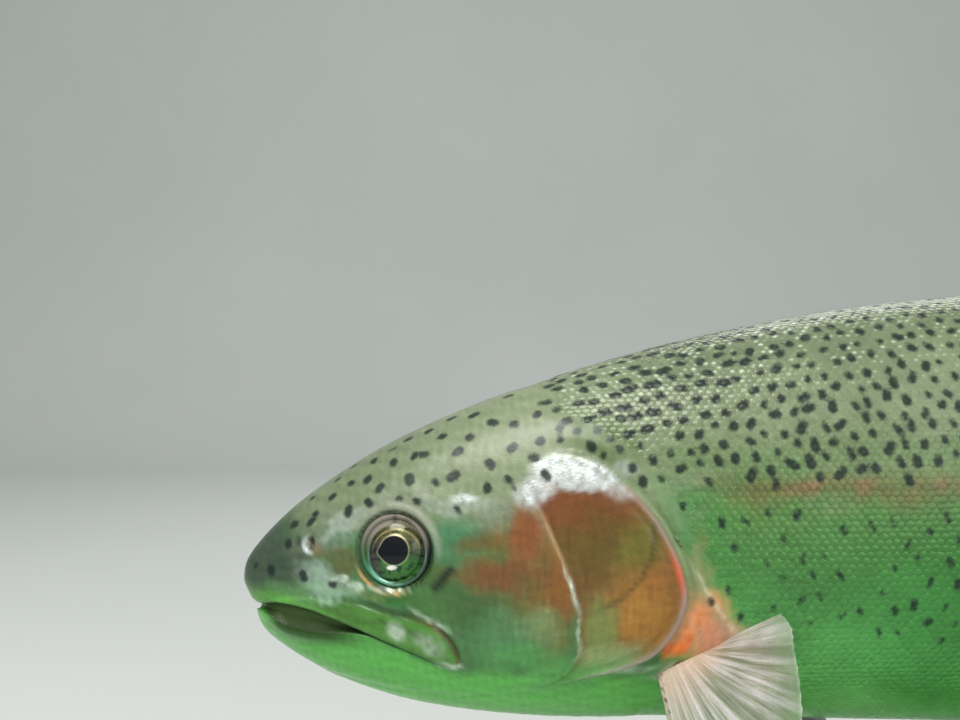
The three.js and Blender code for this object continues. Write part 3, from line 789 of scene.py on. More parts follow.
class Markings:
    """Colours and shine as functions of a place on the trout's side."""

    head_end: float = 135.0

    def tone(self, x: Array, z: Array) -> Array:
        """The skin's colour without its spots.

        Args:
            x: Distances behind the snout, one row.
            z: Heights.

        Returns:
            Linear colours.
        """
        level = FORM.level(x, z)
        drift, fine = waves(x, z, 26.0, 3), waves(x, z, 7.0, 5)
        middle = level - 0.01 - 0.015 * drift
        stripe = (0.75 * bell(middle, 0.06) + 0.25 * bell(middle + 0.08, 0.2)) * smooth(x, 104, 122)
        blush = bell(middle, 0.035) * smooth(0.6 * drift + 0.6 * fine, -0.4, 0.9)
        pores = bell(z - FORM.lateral(x), 0.45) * smooth(x, 104, 112)
        out = paint(PALETTE.back, (
            (PALETTE.ridge, smooth(level + 0.08 * drift, 0.5, 1.0) * 0.85),
            (PALETTE.flank, fall(level + 0.04 * fine + 0.04 * drift, -0.1, 0.26)),
            (PALETTE.low_flank, fall(level + 0.08 * drift, -0.7, -0.25)),
            (PALETTE.belly, fall(level + 0.04 * drift, -1.0, -0.74)),
            (PALETTE.upper, bell(level - 0.17 - 0.03 * drift, 0.16) * 0.75),
            (PALETTE.stripe, stripe * (0.85 + 0.15 * fine)),
            (PALETTE.blush, blush * smooth(x, 110, 135) * (0.35 + 0.4 * smooth(x, 200, 300))),
            (PALETTE.dark, pores * 0.25),
        ))
        deep = smooth(x, 128, 172) * fall(level, -0.25, 0.12)
        out = out * (1 - deep[:, None] * np.array([0.34, 0.1, 0.28]))
        out = out * (1 + 0.2 * bell(np.hypot((x - 139) / 16, (z + 16) / 10), 1.0))[:, None]
        near = x < self.head_end
        if near.any():
            out[near] = self.head_tone(out[near], x[near], z[near])
        return out

    @staticmethod
    def zones(x: Array, z: Array) -> dict[Zone, Array]:
        """How much each zone holds each point."""
        gill, _ = GILL_EDGE.nearest(x, z)
        cheek, _ = CHEEK_EDGE.nearest(x, z)
        ahead = smooth(-gill, -0.3, 0.3)
        rear = smooth(cheek, -0.4, 0.6) * smooth(x + 0.2 * z, 66, 73)
        return {Zone.ALL: np.ones_like(x), Zone.FACE: ahead * (1 - rear),
                Zone.COVER: ahead * rear, Zone.BEHIND: 1 - ahead}

    def warped(self, x: Array, z: Array, strength: float = 1.0) -> Pair:
        """Places moved a little at random, so that patches have living edges."""
        drifts = []
        for broad, middle, fine in ((41, 43, 44), (47, 53, 54)):
            drifts.append(0.9 * waves(x, z, 8.0, broad) + 0.35 * waves(x, z, 2.4, middle)
                          + 0.2 * waves(x, z, 1.2, fine))
        return x + strength * drifts[0], z + strength * drifts[1]

    def head_tone(self, out: Array, x: Array, z: Array) -> Array:
        """Lays the head's colours, painted highlights and painted shade over those of the body.

        Args:
            out: The body's colours.
            x: Distances behind the snout.
            z: Heights.

        Returns:
            The head's colours, which fade into the body's.
        """
        fine, grain = waves(x, z, 7.0, 5), waves(x, z, 2.2, 71, 9)
        zones = self.zones(x, z)
        out = paint(out, self.ground(x, z, fine, zones[Zone.COVER]))
        warp_x, warp_z = self.warped(x, z)
        out = paint(out, ((colour, oval.cover(warp_x, warp_z) * zones[oval.zone])
                          for colour, oval in PATCHES))
        streak = waves(x * 2.4, z * 0.4, 5.0, 73)
        flush = fall(np.abs(x - 80), 16, 24) * fall(np.abs(z - 4), 12, 18)
        out = out * (1 + 0.07 * streak * flush + 0.09 * grain)[:, None]
        out = paint(out, (*self.lines(x, z, fine, grain), *self.openings(x, z)))
        pale = mix(PALETTE.silver, PALETTE.pearl_and_glint, smooth(-z, -16, 0))
        smudge = smooth(waves(x, z, 3.0, 97) + 0.7 * grain, -0.3, 1.7) * 0.62
        pale = mix(pale * (1 + 0.1 * grain)[:, None], linear(128, 136, 132), smudge)
        ridge, _ = SHOULDER.nearest(x, z)
        band = bell(ridge + 1.6, 1.6) * zones[Zone.BEHIND] * bell(z - 6, 14.0)
        # the pale line along the shoulder's raised ridge is a painted highlight
        line = bell(ridge + 0.5 + 0.15 * fine, 0.45) * zones[Zone.BEHIND] * bell(z + 2.5, 9.0)
        # pale: silver and pearly patches, together with the head's painted highlights and glints
        return paint(out, (
            (pale, self.bright(x, z)),
            ((140, 148, 112), band * 0.6),
            ((206, 196, 170), line * (0.5 + 0.25 * grain)),
        ))

    @staticmethod
    def ground(x: Array, z: Array, fine: Array, cover: Array) -> tuple[Layer, ...]:
        """The head's top and side, the jaws, the lips, the gill cover, and a painted shadow under
        the lower lip.

        Args:
            x: Distances behind the snout.
            z: Heights.
            fine: A fine random pattern.
            cover: How much of the gill cover is at each point.

        Returns:
            Layers of colour.
        """
        head = fall(x + 0.25 * np.maximum(z - 20, 0), 88, 112)
        top = mix(PALETTE.crown, PALETTE.forehead, fall(x, 30, 62))
        top = mix(top, PALETTE.snout, fall(x + 0.5 * z, 8, 30))
        side = mix(PALETTE.cheek, PALETTE.snout, fall(x, 14, 30))
        lip_line = MOUTH.lip_height(x)
        under = fall(z + 0.5 * fine - np.maximum(lip_line, -17.0), -3.0, 1.0)
        bone, _ = RELIEF.maxilla(x, z)
        above_lip = smooth(z - lip_line, -0.6, 0.2)
        rim = bell(z - lip_line - 1.0, 3.3 - 1.8 * smooth(x, 12, 24))
        # shade: a painted shadow along the jaw just under the lower lip
        shade = bell(lip_line - MOUTH.gap(x) - z - 0.8, 2.3) * fall(z - lip_line, -0.9, -0.2)
        return (
            (top, head * smooth(z, 8, 17)),
            (side, head * fall(z + fine, 9, 17)),
            (PALETTE.jaw, head * under * np.maximum(fall(z, -22, -14), fall(x, 50, 60))),
            (PALETTE.maxilla, bone * above_lip * 0.9),
            (PALETTE.lip, rim * above_lip * fall(x, 16, 30) * 0.95),
            ((36, 66, 16), shade * smooth(x, 6, 11) * fall(x, 24, 38) * 0.95),
            (PALETTE.cover, cover * smooth(z, -24, -16) * fall(z, 23, 27)),
        )

    @staticmethod
    def lines(x: Array, z: Array, fine: Array, grain: Array) -> tuple[Layer, ...]:
        """Painted shade in seams and creases, a dark streak behind the eye, and the pale rear edges
        of the gill cover and the cheek.

        Args:
            x: Distances behind the snout.
            z: Heights.
            fine: A fine random pattern.
            grain: A finer one.

        Returns:
            Layers of colour.
        """
        seam, seam_share = COVER_SEAM.nearest(x, z)
        crease, along_it = JAW_CREASE.nearest(x, z)
        streak, streak_share = EYE_STREAK.nearest(x, z)
        bone_seam, _ = BONE_SEAM.nearest(x, z)
        gill, share = GILL_EDGE.nearest(x, z)
        rim = bell(gill + 0.5, 0.75) * fall(share, 0.78, 0.9) * smooth(share, 0.16, 0.3)
        full = 0.45 + 0.4 * smooth(share, 0.4, 0.5)
        cheek, share = CHEEK_EDGE.nearest(x, z)
        lower = smooth(share, 0.28, 0.4) * fall(share, 0.68, 0.8)
        upper = smooth(share, 0.05, 0.15) * fall(share, 0.28, 0.4)
        worn = (0.72 + 0.3 * grain) * (1 - 0.45 * smooth(share, 0.42, 0.52))
        return (
            # painted shade in the gill cover's seam and along the upper jaw's crease
            (PALETTE.dark, 0.5 * bell(seam, 0.6) * fall(seam_share, 0.8, 1.0)),
            (PALETTE.dark, 0.75 * bell(crease, 0.8) * bell(along_it - 0.32, 0.24)),
            ((92, 54, 30), 0.7 * bell(crease, 0.5) * smooth(along_it, 0.35, 0.6)),
            (PALETTE.dark, bell(streak, 1.25 - 0.35 * streak_share) * fall(streak_share, 0.85, 1)),
            # painted shade in the seam between the upper jaw's bones
            (PALETTE.dark, 0.35 * bell(bone_seam, 0.6)),
            (PALETTE.membrane * 0.8, rim * full),
            ((214, 84, 40), bell(gill + 1.0, 0.7) * bell(z - 5.5, 4.5) * 0.75),
            ((196, 150, 92), upper * bell(cheek - 0.1, 0.35) * 0.5),
            ((212, 226, 206), lower * bell(cheek + 0.2 * fine, 0.4) * worn),
        )

    @staticmethod
    def openings(x: Array, z: Array) -> tuple[Layer, ...]:
        """The skin round the eye, and the nostrils with the flap between them, with painted shade
        in the eye's crease and the nostrils' pits and a painted highlight under the eye.

        Args:
            x: Distances behind the snout.
            z: Heights.

        Returns:
            Layers of colour.
        """
        east, north = x - EYE.x, z - EYE.z
        eye = np.hypot(east, north)
        rear = smooth(east, 2.0, 7.0) * smooth(north, -3.0, 2.0)
        low = smooth(EYE.z - z, 3.0, 6.5) * fall(east, 0.5, 4.0)
        rear_x, rear_z = RELIEF.rear_nostril
        front_x, front_z = RELIEF.front_nostril
        flap, share = NOSE_FLAP.nearest(x, z)
        return (
            ((142, 142, 128), smooth(north, 2.0, 6.0) * bell(eye - 9.9, 0.8) * 0.4),
            ((150, 146, 136), rear * bell(eye - 10.2, 1.0) * 0.5),
            # a painted highlight along the socket's lower rim
            ((220, 168, 108), low * bell(eye - 9.65, 0.32) * 0.8),
            # painted shade in the crease where the eye meets the skin
            (PALETTE.dark, 0.9 * bell(eye - 8.9, 0.4)),
            # painted shade in the nostrils' pits
            (PALETTE.dark, 0.9 * fall(np.hypot(x - rear_x, (z - rear_z) * 0.55), 0.5, 1.2)),
            (PALETTE.dark, 0.7 * fall(np.hypot(x - front_x, (z - front_z) * 0.5), 0.3, 0.9)),
            ((150, 112, 78), 0.4 * bell(np.hypot(x - 20.6, z - 8.6), 1.5)),
            (PALETTE.silver, 0.8 * bell(flap, 0.5) * bell(share - 0.4, 0.42)),
        )

    def bright(self, x: Array, z: Array) -> Array:
        """Where the head is silver or pearly, and where highlights and glints are painted on."""
        zones = self.zones(x, z)
        warp_x, warp_z = self.warped(x, z, 0.32)
        worn = 0.8 + 0.16 * waves(x, z, 2.6, 83) + 0.08 * waves(x, z, 1.3, 89)
        total = np.zeros_like(x)
        for oval in SILVER_AND_GLINTS:
            total = np.maximum(total, oval.cover(warp_x, warp_z) * zones[oval.zone])
        return np.clip(total * worn, 0, 1)

    def silver(self, x: Array, z: Array) -> Array:
        """How mirror-like the skin is, from 0 to 1."""
        level = FORM.level(x, z)
        out = bell(level + 0.35, 0.45) * smooth(x, 105, 130) * 0.35
        near = x < self.head_end
        if near.any():
            out[near] = np.maximum(out[near], 0.6 * self.bright(x[near], z[near]))
        return np.clip(out, 0, 1)


MARKINGS = Markings()

FACE_SPOTS: Sequence[tuple[float, float, float]] = (
    (14, 13.5, 1.2), (13, 9.2, 1.2), (8.8, 2.8, 1.25), (4.3, 3.2, 0.9), (17.3, 2.3, 1.15),
    (24.6, 0.9, 0.95), (18.6, 14.6, 1), (19.5, 16.3, 0.9), (23.5, 20.3, 1.1), (28, 23.7, 1.1),
    (28, 17.5, 1.2), (33, 19.7, 1), (32.2, 24.8, 1.15), (35.5, 23, 1.1), (33.2, 28.8, 1.2),
    (38.3, 28.9, 1.2), (40.2, 21, 0.6), (42.5, 25.3, 1.35), (44.6, 20.5, 0.9), (43.4, 30.5, 1),
    (45.6, 30.9, 1), (37.8, 31.6, 0.6), (48.7, 24.9, 0.8), (52.8, 26.4, 1.3), (53.8, 31.8, 1.2),
    (41.5, 34, 1.1), (46.5, 36, 1.1), (50, 35, 1.1), (56.5, 35, 1.25), (52, 39, 1.1),
    (61.3, 29.3, 1.25), (60.7, 24, 1.2), (65.5, 26, 0.95), (66.8, 24, 0.5), (66.5, 33, 1.2),
    (57.5, 40, 1.1), (62, 38.5, 1.2), (61, 43.5, 1.1), (67, 38.2, 1.2), (66, 44.5, 1.1),
    (71.4, 30.9, 1.1), (73, 34.6, 1.25), (72.5, 40.5, 1.1), (77.5, 37.5, 1.1), (74, 27.1, 1.1),
    (54, 19, 0.7), (70, 47, 1.1), (58, 46.5, 1), (27.9, 27.1, 0.8), (24, 23.9, 0.75),
    (17.8, 19.4, 0.8),
)


@dataclass
class SpotField:
    """Dark spots as short capsules, and the distance from any point to the nearest."""

    seed: int = 11
    first: float = 62.0  # the foremost column's distance behind the snout
    band: float = 110.0  # how far round from the back the rows go
    face_end: float = 79.0
    back_pitch: float = 4.4
    flank_pitch: float = 5.9
    window: float = 10.0
    reach: float = 4.0
    centres: Array = field(init=False)
    arms: Array = field(init=False)
    radii: Array = field(init=False)

    def __post_init__(self) -> None:
        """Scatters the spots over both sides."""
        draw = np.random.default_rng(self.seed)
        parts = []
        for side in Side:
            parts.append(self.face(draw, side))
            parts.append(self.scatter(draw, side, self.back_pitch, -0.02, 1.0, (0.8, 1.14), 0.97))
            parts.append(self.scatter(draw, side, self.flank_pitch, -0.62, -0.06, (0.5, 0.9), 0.8))
        joined = [np.concatenate(part) for part in zip(*parts)]
        order = np.argsort(joined[0][:, 0])
        self.centres, self.arms, self.radii = (part[order] for part in joined)

    def face(self, draw: Random, side: Side) -> tuple[Array, Array, Array]:
        """The head's spots, which stand a little differently on the right side.

        Args:
            draw: The random numbers.
            side: Which side.

        Returns:
            Their centres, the half length and way of their long axes, and radii.
        """
        x, z, radius = np.array(FACE_SPOTS).T
        if side is Side.RIGHT:
            x = x + draw.uniform(-1.6, 1.6, len(x))
            z = z + draw.uniform(-1.2, 1.2, len(z))
        s = FORM.s_at(x)
        place = FORM.rim(s, FORM.turn_at(s, z))
        arm = draw.uniform(-0.55, 0.55, (len(x), 3))
        place[:, 1] *= side.value
        arm[:, 1] *= 0.3
        return place, arm, radius * 0.94

    def scatter(
        self, draw: Random, side: Side, pitch: float, low: float, high: float,
        sizes: tuple[float, float], kept: float,
    ) -> tuple[Array, Array, Array]:
        """Spots on a jittered lattice over a band of the side.

        Args:
            draw: The random numbers.
            side: Which side.
            pitch: The distance between neighbours.
            low: The band's lower level.
            high: Its upper level.
            sizes: Smallest and largest radius.
            kept: The share of places that has a spot.

        Returns:
            Their centres, the half length and way of their long axes, and radii.
        """
        rows = int(self.band / (pitch * 0.87))
        columns = int((FORM.length + 20 - self.face_end) / pitch) + 12
        j, i = np.indices((rows, columns))
        x = self.first + (i + 0.5 * (j % 2)) * pitch + draw.uniform(-0.21, 0.21, i.shape) * pitch
        arc = j * pitch * 0.87 + draw.uniform(-0.21, 0.21, i.shape) * pitch
        x, arc = x.ravel(), arc.ravel()
        place = GIRTH.point(x, GIRTH.from_back(x, arc))
        z = place[:, 2]
        level = FORM.level(x, z)
        fade = smooth(level, low, low + 0.12)
        chance = draw.uniform(0, 1, x.shape)
        thin_out = 1 - 0.35 * smooth(x, 330, 440)
        keep = (chance < kept * fade * thin_out) & (level <= high) & (arc < GIRTH.half_girth(x))
        gill, _ = GILL_EDGE.nearest(x, z)
        shoulder, _ = SHOULDER.nearest(x, z)
        keep &= (x < FORM.length + 2) & ((gill > 1.8) | (z > 31))
        keep &= (x + 0.35 * (z - 30) > self.face_end) & ((shoulder > -1) | (z > 16))
        nape = fall(x, 105, 150) * smooth(level, 0.25, 0.5)
        radius = draw.uniform(*sizes, x.shape) * (1 + 0.1 * nape)
        long = np.maximum(smooth(x, 90, 130), nape)
        length = draw.uniform(0.1, 1.0, x.shape) * (0.35 + 0.65 * long)
        lean = draw.normal(-0.15, 0.45, x.shape) + 1.75 * nape
        arm = np.stack([np.sin(lean) * length, 0 * x, np.cos(lean) * length], -1)
        place[:, 1] *= side.value
        return place[keep], arm[keep], radius[keep]

    def distance(self, points: Array) -> Array:
        """The distance from each point to the nearest spot's edge.

        Each spot is a capsule: the points within its radius of a short line.

        Args:
            points: Places in millimetres, before the tail's sweep.

        Returns:
            Distances, negative inside a spot and never above the reach.
        """
        centres, arms, radii = (
            part.astype(np.float32) for part in (self.centres, self.arms, self.radii))
        out = np.full(len(points), self.reach, np.float32)
        order = np.argsort(points[:, 0])
        cuts = np.arange(points[:, 0].min(), points[:, 0].max() + self.window, self.window)
        bounds = np.searchsorted(points[order, 0], cuts)
        for start, stop, low in zip(bounds[:-1], bounds[1:], cuts[:-1]):
            ends = low - self.reach - 2, low + self.window + self.reach + 2
            near = slice(*np.searchsorted(self.centres[:, 0], ends))
            if stop <= start or near.stop <= near.start:
                continue
            rows = order[start:stop]
            away = points[rows][:, None].astype(np.float32) - centres[near]
            arm = arms[near]
            share = (away * arm).sum(-1) / np.maximum((arm**2).sum(-1), 1e-6)
            away -= np.clip(share, -1, 1)[..., None] * arm
            span = np.sqrt((away**2).sum(-1)) - radii[near]
            out[rows] = np.minimum(span.min(1), self.reach)
        return out


@dataclass
class Girth:
    """Distances measured round the body, for laying out scales and spots."""

    columns: int = 420
    turns: int = 361
    x: Array = field(init=False)
    turn: Array = field(init=False)
    arcs: Array = field(init=False)
    middle: Array = field(init=False)

    def __post_init__(self) -> None:
        """Measures each station from its back down to its belly."""
        self.x = np.linspace(40.0, FORM.length + 6.0, self.columns)
        self.turn = np.linspace(0, pi, self.turns)
        s = np.minimum(FORM.s_at(self.x), 1.0)
        ring = FORM.rim(s[:, None], self.turn[None])
        steps = np.linalg.norm(np.diff(ring[..., 1:], axis=1), axis=-1)
        self.arcs = np.concatenate([np.zeros((self.columns, 1)), np.cumsum(steps, 1)], 1)
        turn = FORM.turn_at(s, FORM.lateral(self.x))
        row = np.arange(self.columns)
        place = np.clip(turn / pi * (self.turns - 1), 0, self.turns - 2)
        i = place.astype(int)
        self.middle = self.arcs[row, i] + (place - i) * (self.arcs[row, i + 1] - self.arcs[row, i])

    def half_girth(self, x: Array) -> Array:
        """The distance from the back round to the belly."""
        return np.interp(x, self.x, self.arcs[:, -1])

    def to_middle(self, x: Array) -> Array:
        """The distance from the back round to the line of pores."""
        return np.interp(x, self.x, self.middle)

    def from_back(self, x: Array, arc: Array) -> Array:
        """The angle that lies a distance round from the back.

        Args:
            x: Distances behind the snout.
            arc: Distances round from the back.

        Returns:
            Angles round the outline.
        """
        place = np.clip((x - self.x[0]) / (self.x[1] - self.x[0]), 0, self.columns - 1.001)
        i = place.astype(int)
        out = np.zeros(np.shape(x))
        for k, weight in ((i, 1 - (place - i)), (i + 1, place - i)):
            for column in np.unique(k):
                mine = k == column
                out[mine] += weight[mine] * np.interp(arc[mine], self.arcs[column], self.turn)
        return out

    @staticmethod
    def point(x: Array, turn: Array) -> Array:
        """A place on the outline by its distance behind the snout and its angle."""
        place = FORM.rim(np.minimum(FORM.s_at(x), 1.0), turn)
        place[..., 0] = x
        return place


GIRTH = Girth()
SPOTS = SpotField()


# ---- finishes


class Bench:
    """Builds one node tree, node by node."""

    def __init__(self, tree: Tree) -> None:
        """Starts from an empty tree."""
        self.tree = tree
        tree.nodes.clear()

    def fill(self, sockets: Iterable, values: Iterable[object]) -> None:
        """Gives sockets their values.

        Args:
            sockets: The sockets.
            values: A number, a colour or another node's output for each.
        """
        for socket, value in zip(sockets, values):
            if isinstance(value, Socket):
                self.tree.links.new(value, socket)
            elif isinstance(value, Array):
                socket.default_value = (*value.tolist(), 1.0)
            else:
                socket.default_value = value

    def node(self, kind: str, **sockets: object) -> bpy.types.Node:
        """Adds a node and fills its settings and sockets.

        Args:
            kind: The node's type.
            **sockets: Settings by name, or inputs by name with spaces as "_".

        Returns:
            The new node.
        """
        made = self.tree.nodes.new(kind)
        for label, value in sockets.items():
            if label in made.bl_rna.properties:
                setattr(made, label, value)
            else:
                self.fill([made.inputs[label.replace("_", " ")]], [value])
        return made

    def math(self, operation: str, *values: object, clamp: bool = False) -> Socket:
        """Adds a math node on numbers or outputs."""
        made = self.node("ShaderNodeMath", operation=operation, use_clamp=clamp)
        self.fill(made.inputs, values)
        return made.outputs[0]

    def blend(self, share: object, first: object, second: object, kind: str = "MIX") -> Socket:
        """Mixes two colours."""
        made = self.node("ShaderNodeMix", data_type="RGBA", blend_type=kind)
        self.fill((made.inputs[i] for i in (0, 6, 7)), (share, first, second))
        return made.outputs[2]

    def range(self, value: Socket, *limits: object) -> Socket:
        """Maps a value smoothly from one range to another, or to 0 to 1."""
        made = self.node("ShaderNodeMapRange", interpolation_type="SMOOTHSTEP", Value=value)
        self.fill(made.inputs[1:5], limits)
        return made.outputs[0]

    def read(self, name: str, colour: bool = False) -> Socket:
        """Reads one of the mesh's own values."""
        made = self.node("ShaderNodeAttribute", attribute_name=name)
        return made.outputs["Color" if colour else "Fac"]

    def place(self, scale: Triple = (1.0, 1.0, 1.0)) -> Socket:
        """The piece's own coordinates, stretched."""
        place = self.node("ShaderNodeTexCoord").outputs["Object"]
        if scale == (1.0, 1.0, 1.0):
            return place
        return self.node("ShaderNodeMapping", Vector=place, Scale=scale).outputs[0]

    def noise(self, scale: object, detail: float, rough: float = 0.5, at: Socket | None = None,
              twist: float = 0.0) -> Socket:
        """Soft noise, on the piece's own coordinates unless others are given."""
        return self.node("ShaderNodeTexNoise", Vector=self.place() if at is None else at,
                         Scale=scale, Detail=detail, Roughness=rough, Distortion=twist).outputs[0]

    def grey(self, level: Socket) -> Socket:
        """A level as a grey."""
        return self.node("ShaderNodeCombineColor", Red=level, Green=level, Blue=level).outputs[0]

    def bump(self, height: Socket, strength: float, distance: float) -> Socket:
        """Turns a height into small tilts of the surface."""
        return self.node("ShaderNodeBump", Strength=strength, Distance=distance,
                         Height=height).outputs[0]

    def group(self, tree: Tree, **sockets: object) -> bpy.types.bpy_prop_collection:
        """Places one of the effects and gives its outputs."""
        return self.node("ShaderNodeGroup", node_tree=tree, **sockets).outputs


class Effects:
    """Node groups that more than one finish uses, each built once."""

    def __init__(self) -> None:
        """Builds the groups."""
        self.mottle = self.build_mottle()
        self.spotted = self.build_spotted()

    @staticmethod
    def start(name: str, second: str, inputs: Sequence[tuple[str, float | None]]
              ) -> tuple[Bench, Sequence[Socket], Sequence[Socket]]:
        """Opens a group that puts out a colour and a value.

        Args:
            name: The group's name.
            second: The value's name.
            inputs: Name and standard value of each input, or None for a colour.

        Returns:
            The bench, the inputs as the group sees them, and its output sockets.
        """
        tree = bpy.data.node_groups.new(name, "ShaderNodeTree")
        for label, value in inputs:
            kind = "NodeSocketColor" if value is None else "NodeSocketFloat"
            socket = tree.interface.new_socket(label, in_out="INPUT", socket_type=kind)
            if value is not None:
                socket.default_value = value
        for label, kind in (("Colour", "NodeSocketColor"), (second, "NodeSocketFloat")):
            tree.interface.new_socket(label, in_out="OUTPUT", socket_type=kind)
        bench = Bench(tree)
        return bench, bench.node("NodeGroupInput").outputs, bench.node("NodeGroupOutput").inputs

    def build_mottle(self) -> Tree:
        """Uneven living colour: broad patches and fine grain, lighter and darker."""
        bench, (colour, size, strength, _), sink = self.start(
            "mottle", "Grain", [("Colour", None), ("Patch Size", 160.0), ("Strength", 0.25)])
        place = bench.place()
        broad, grain = bench.noise(size, 3.0, at=place), bench.noise(1900.0, 2.0, at=place)
        both = bench.math("ADD", bench.math("MULTIPLY", broad, 1.3), grain)
        swing = bench.math("MULTIPLY", bench.math("SUBTRACT", both, 1.15), strength)
        grey = bench.grey(bench.math("ADD", 1.0, swing))
        bench.fill(sink, (bench.blend(1.0, colour, grey, "MULTIPLY"), grain))
        return bench.tree

    def build_spotted(self) -> Tree:
        """Dark spots with slightly uneven edges over a colour."""
        bench, (colour, distance, soft, depth, _), sink = self.start(
            "spotted", "Spot",
            [("Colour", None), ("Distance", 1.0), ("Softness", 0.3), ("Depth", 0.9)])
        noise = bench.noise(1100.0, 3.0, 0.55)
        ragged = bench.math("MULTIPLY", bench.math("SUBTRACT", noise, 0.5), 0.9)
        edge = bench.math("ADD", distance, ragged)
        mask = bench.range(edge, soft, bench.math("MULTIPLY", soft, -1.0), 0, 1)
        cover = bench.math("MULTIPLY", mask, depth)
        bench.fill(sink, (bench.blend(cover, colour, PALETTE.spot), cover))
        return bench.tree


EFFECTS = Effects()


class Finish:
    """A finish: a named material whose surface each kind makes in its own way."""

    name: str

    def surface(self, bench: Bench) -> Sockets:
        """The shader's sockets, by name with spaces as "_"."""
        raise NotImplementedError

    def material(self) -> Material:
        """Builds the material."""
        made = bpy.data.materials.new(self.name)
        made.use_nodes = True
        bench = Bench(made.node_tree)
        shader = bench.node("ShaderNodeBsdfPrincipled", **self.surface(bench))
        bench.node("ShaderNodeOutputMaterial", Surface=shader.outputs[0])
        return made


@dataclass(frozen=True)
class LivingFinish(Finish):
    """Wet skin with the trout's own markings, painted highlights and painted shade."""

    name: str
    scaled: bool = False
    patch_size: float = 130.0
    strength: float = 0.22
    roughness: float = 0.36
    gloss: float = 0.5
    film: float = 0.28

    def surface(self, bench: Bench) -> Sockets:
        """Mottled, spotted and silvered skin under a film of water; on scales, painted shade on
        their rear edges and painted glints.
        """
        colour, grain = bench.group(EFFECTS.mottle, Colour=bench.read("tone", colour=True),
                                    Patch_Size=self.patch_size, Strength=self.strength)
        if self.scaled:
            # painted shade along each scale's raised rear edge, where it stands over the next scale
            dark = bench.math("MULTIPLY", bench.range(bench.read("rim"), 0.6, 1.05), 0.13)
            colour = bench.blend(dark, colour, PALETTE.ridge * 0.3)
            # painted glints: a small pale dot lit in the middle of some scales
            dot = bench.range(bench.read("glint"), 0.22, 0.85, 0.0, 0.75)
            colour = bench.blend(dot, colour, PALETTE.pearl_and_glint)
        colour, spot = bench.group(EFFECTS.spotted, Colour=colour, Distance=bench.read("spot"),
                                   Softness=0.5, Depth=0.92)
        silver = bench.math("MULTIPLY", bench.read("silver"), bench.math("SUBTRACT", 1.0, spot))
        if self.scaled:
            gloss = bench.range(spot, 0.2, 0.9, self.gloss, self.gloss * 0.3)
        else:
            gloss = bench.range(bench.read("dull"), 0.1, 0.6, self.gloss, 0.0)
        rough = bench.math("ADD", bench.math("MULTIPLY", grain, 0.18), self.roughness - 0.09)
        return dict(Base_Color=colour, Metallic=silver, Roughness=rough,
                    Normal=bench.bump(grain, 0.55, 0.00016), Coat_Weight=gloss,
                    Coat_Roughness=self.film, Coat_IOR=1.36, IOR=1.4, Specular_IOR_Level=0.2)


@dataclass(frozen=True)
class FinFinish(Finish):
    """Thin membrane between branched rays."""

    name: str
    membrane: Array
    ray: Array
    base: Array
    streak: Array
    ray_cover: float = 0.8
    margin: Array | None = None

    def surface(self, bench: Bench) -> Sockets:
        """Rays over membrane, streaked along the fan and fading into the fin's base."""
        reach = bench.read("reach")
        place = bench.node("ShaderNodeCombineXYZ", X=bench.read("fan"), Y=reach).outputs[0]
        streaks, bands = bench.noise(1.3, 5.0, 0.65, place), bench.noise(0.5, 2.0, at=place)
        ray = bench.math("MULTIPLY", bench.range(bench.read("ridge"), 0.1, 0.95), 0.3)
        pale = bench.math("ADD", ray, bench.range(streaks, 0.42, 0.62))
        colour = bench.blend(bench.math("MULTIPLY", pale, self.ray_cover, clamp=True),
                             self.membrane, self.ray)
        stained = bench.math("MULTIPLY", bench.range(bands, 0.46, 0.62),
                             bench.range(reach, 0.15, 0.9, 0.1, 0.9))
        fine = bench.math("MULTIPLY", bench.range(streaks, 0.5, 0.36), 0.6)
        stained = bench.math("MAXIMUM", bench.math("MULTIPLY", stained, 0.7), fine)
        colour = bench.blend(stained, colour, self.streak)
        colour = bench.blend(bench.range(reach, 0.05, 0.4, 0.9, 0.0), colour, self.base)
        if self.margin is not None:
            colour = bench.blend(bench.range(reach, 0.7, 1.1, 0.0, 0.8), colour, self.margin)
        colour, grain = bench.group(EFFECTS.mottle, Colour=colour, Patch_Size=120.0, Strength=0.4)
        colour, _ = bench.group(EFFECTS.spotted, Colour=colour, Distance=bench.read("spot"),
                                Softness=0.5, Depth=0.8)
        rough = bench.math("ADD", bench.math("MULTIPLY", grain, 0.2), 0.3)
        bump = bench.bump(bench.math("ADD", streaks, grain), 0.35, 0.0001)
        return dict(Base_Color=colour, Roughness=rough, Normal=bump, Coat_Weight=0.35,
                    Coat_Roughness=0.15)


@dataclass(frozen=True)
class EyeFinish(Finish):
    """The eye's own colours, its painted highlights and shade, and flecks under a clear wet cornea.
    """

    name: str = "wet eye"

    def surface(self, bench: Bench) -> Sockets:
        """Flecks in the iris, where it is metallic, under gloss."""
        metal, tone = bench.read("silver"), bench.read("tone", colour=True)
        fleck = bench.noise(1300.0, 4.0, 0.7)
        shade = bench.grey(bench.range(fleck, 0.35, 0.7, 0.62, 1.35))
        colour = bench.blend(bench.math("MULTIPLY", metal, 1.4, clamp=True), tone,
                             bench.blend(1.0, tone, shade, "MULTIPLY"))
        return dict(Base_Color=colour, Metallic=metal, Roughness=0.4,
                    Normal=bench.bump(fleck, 0.4, 0.00015), Specular_IOR_Level=0.1,
                    Coat_Weight=0.8, Coat_Roughness=0.02, Coat_IOR=1.34)


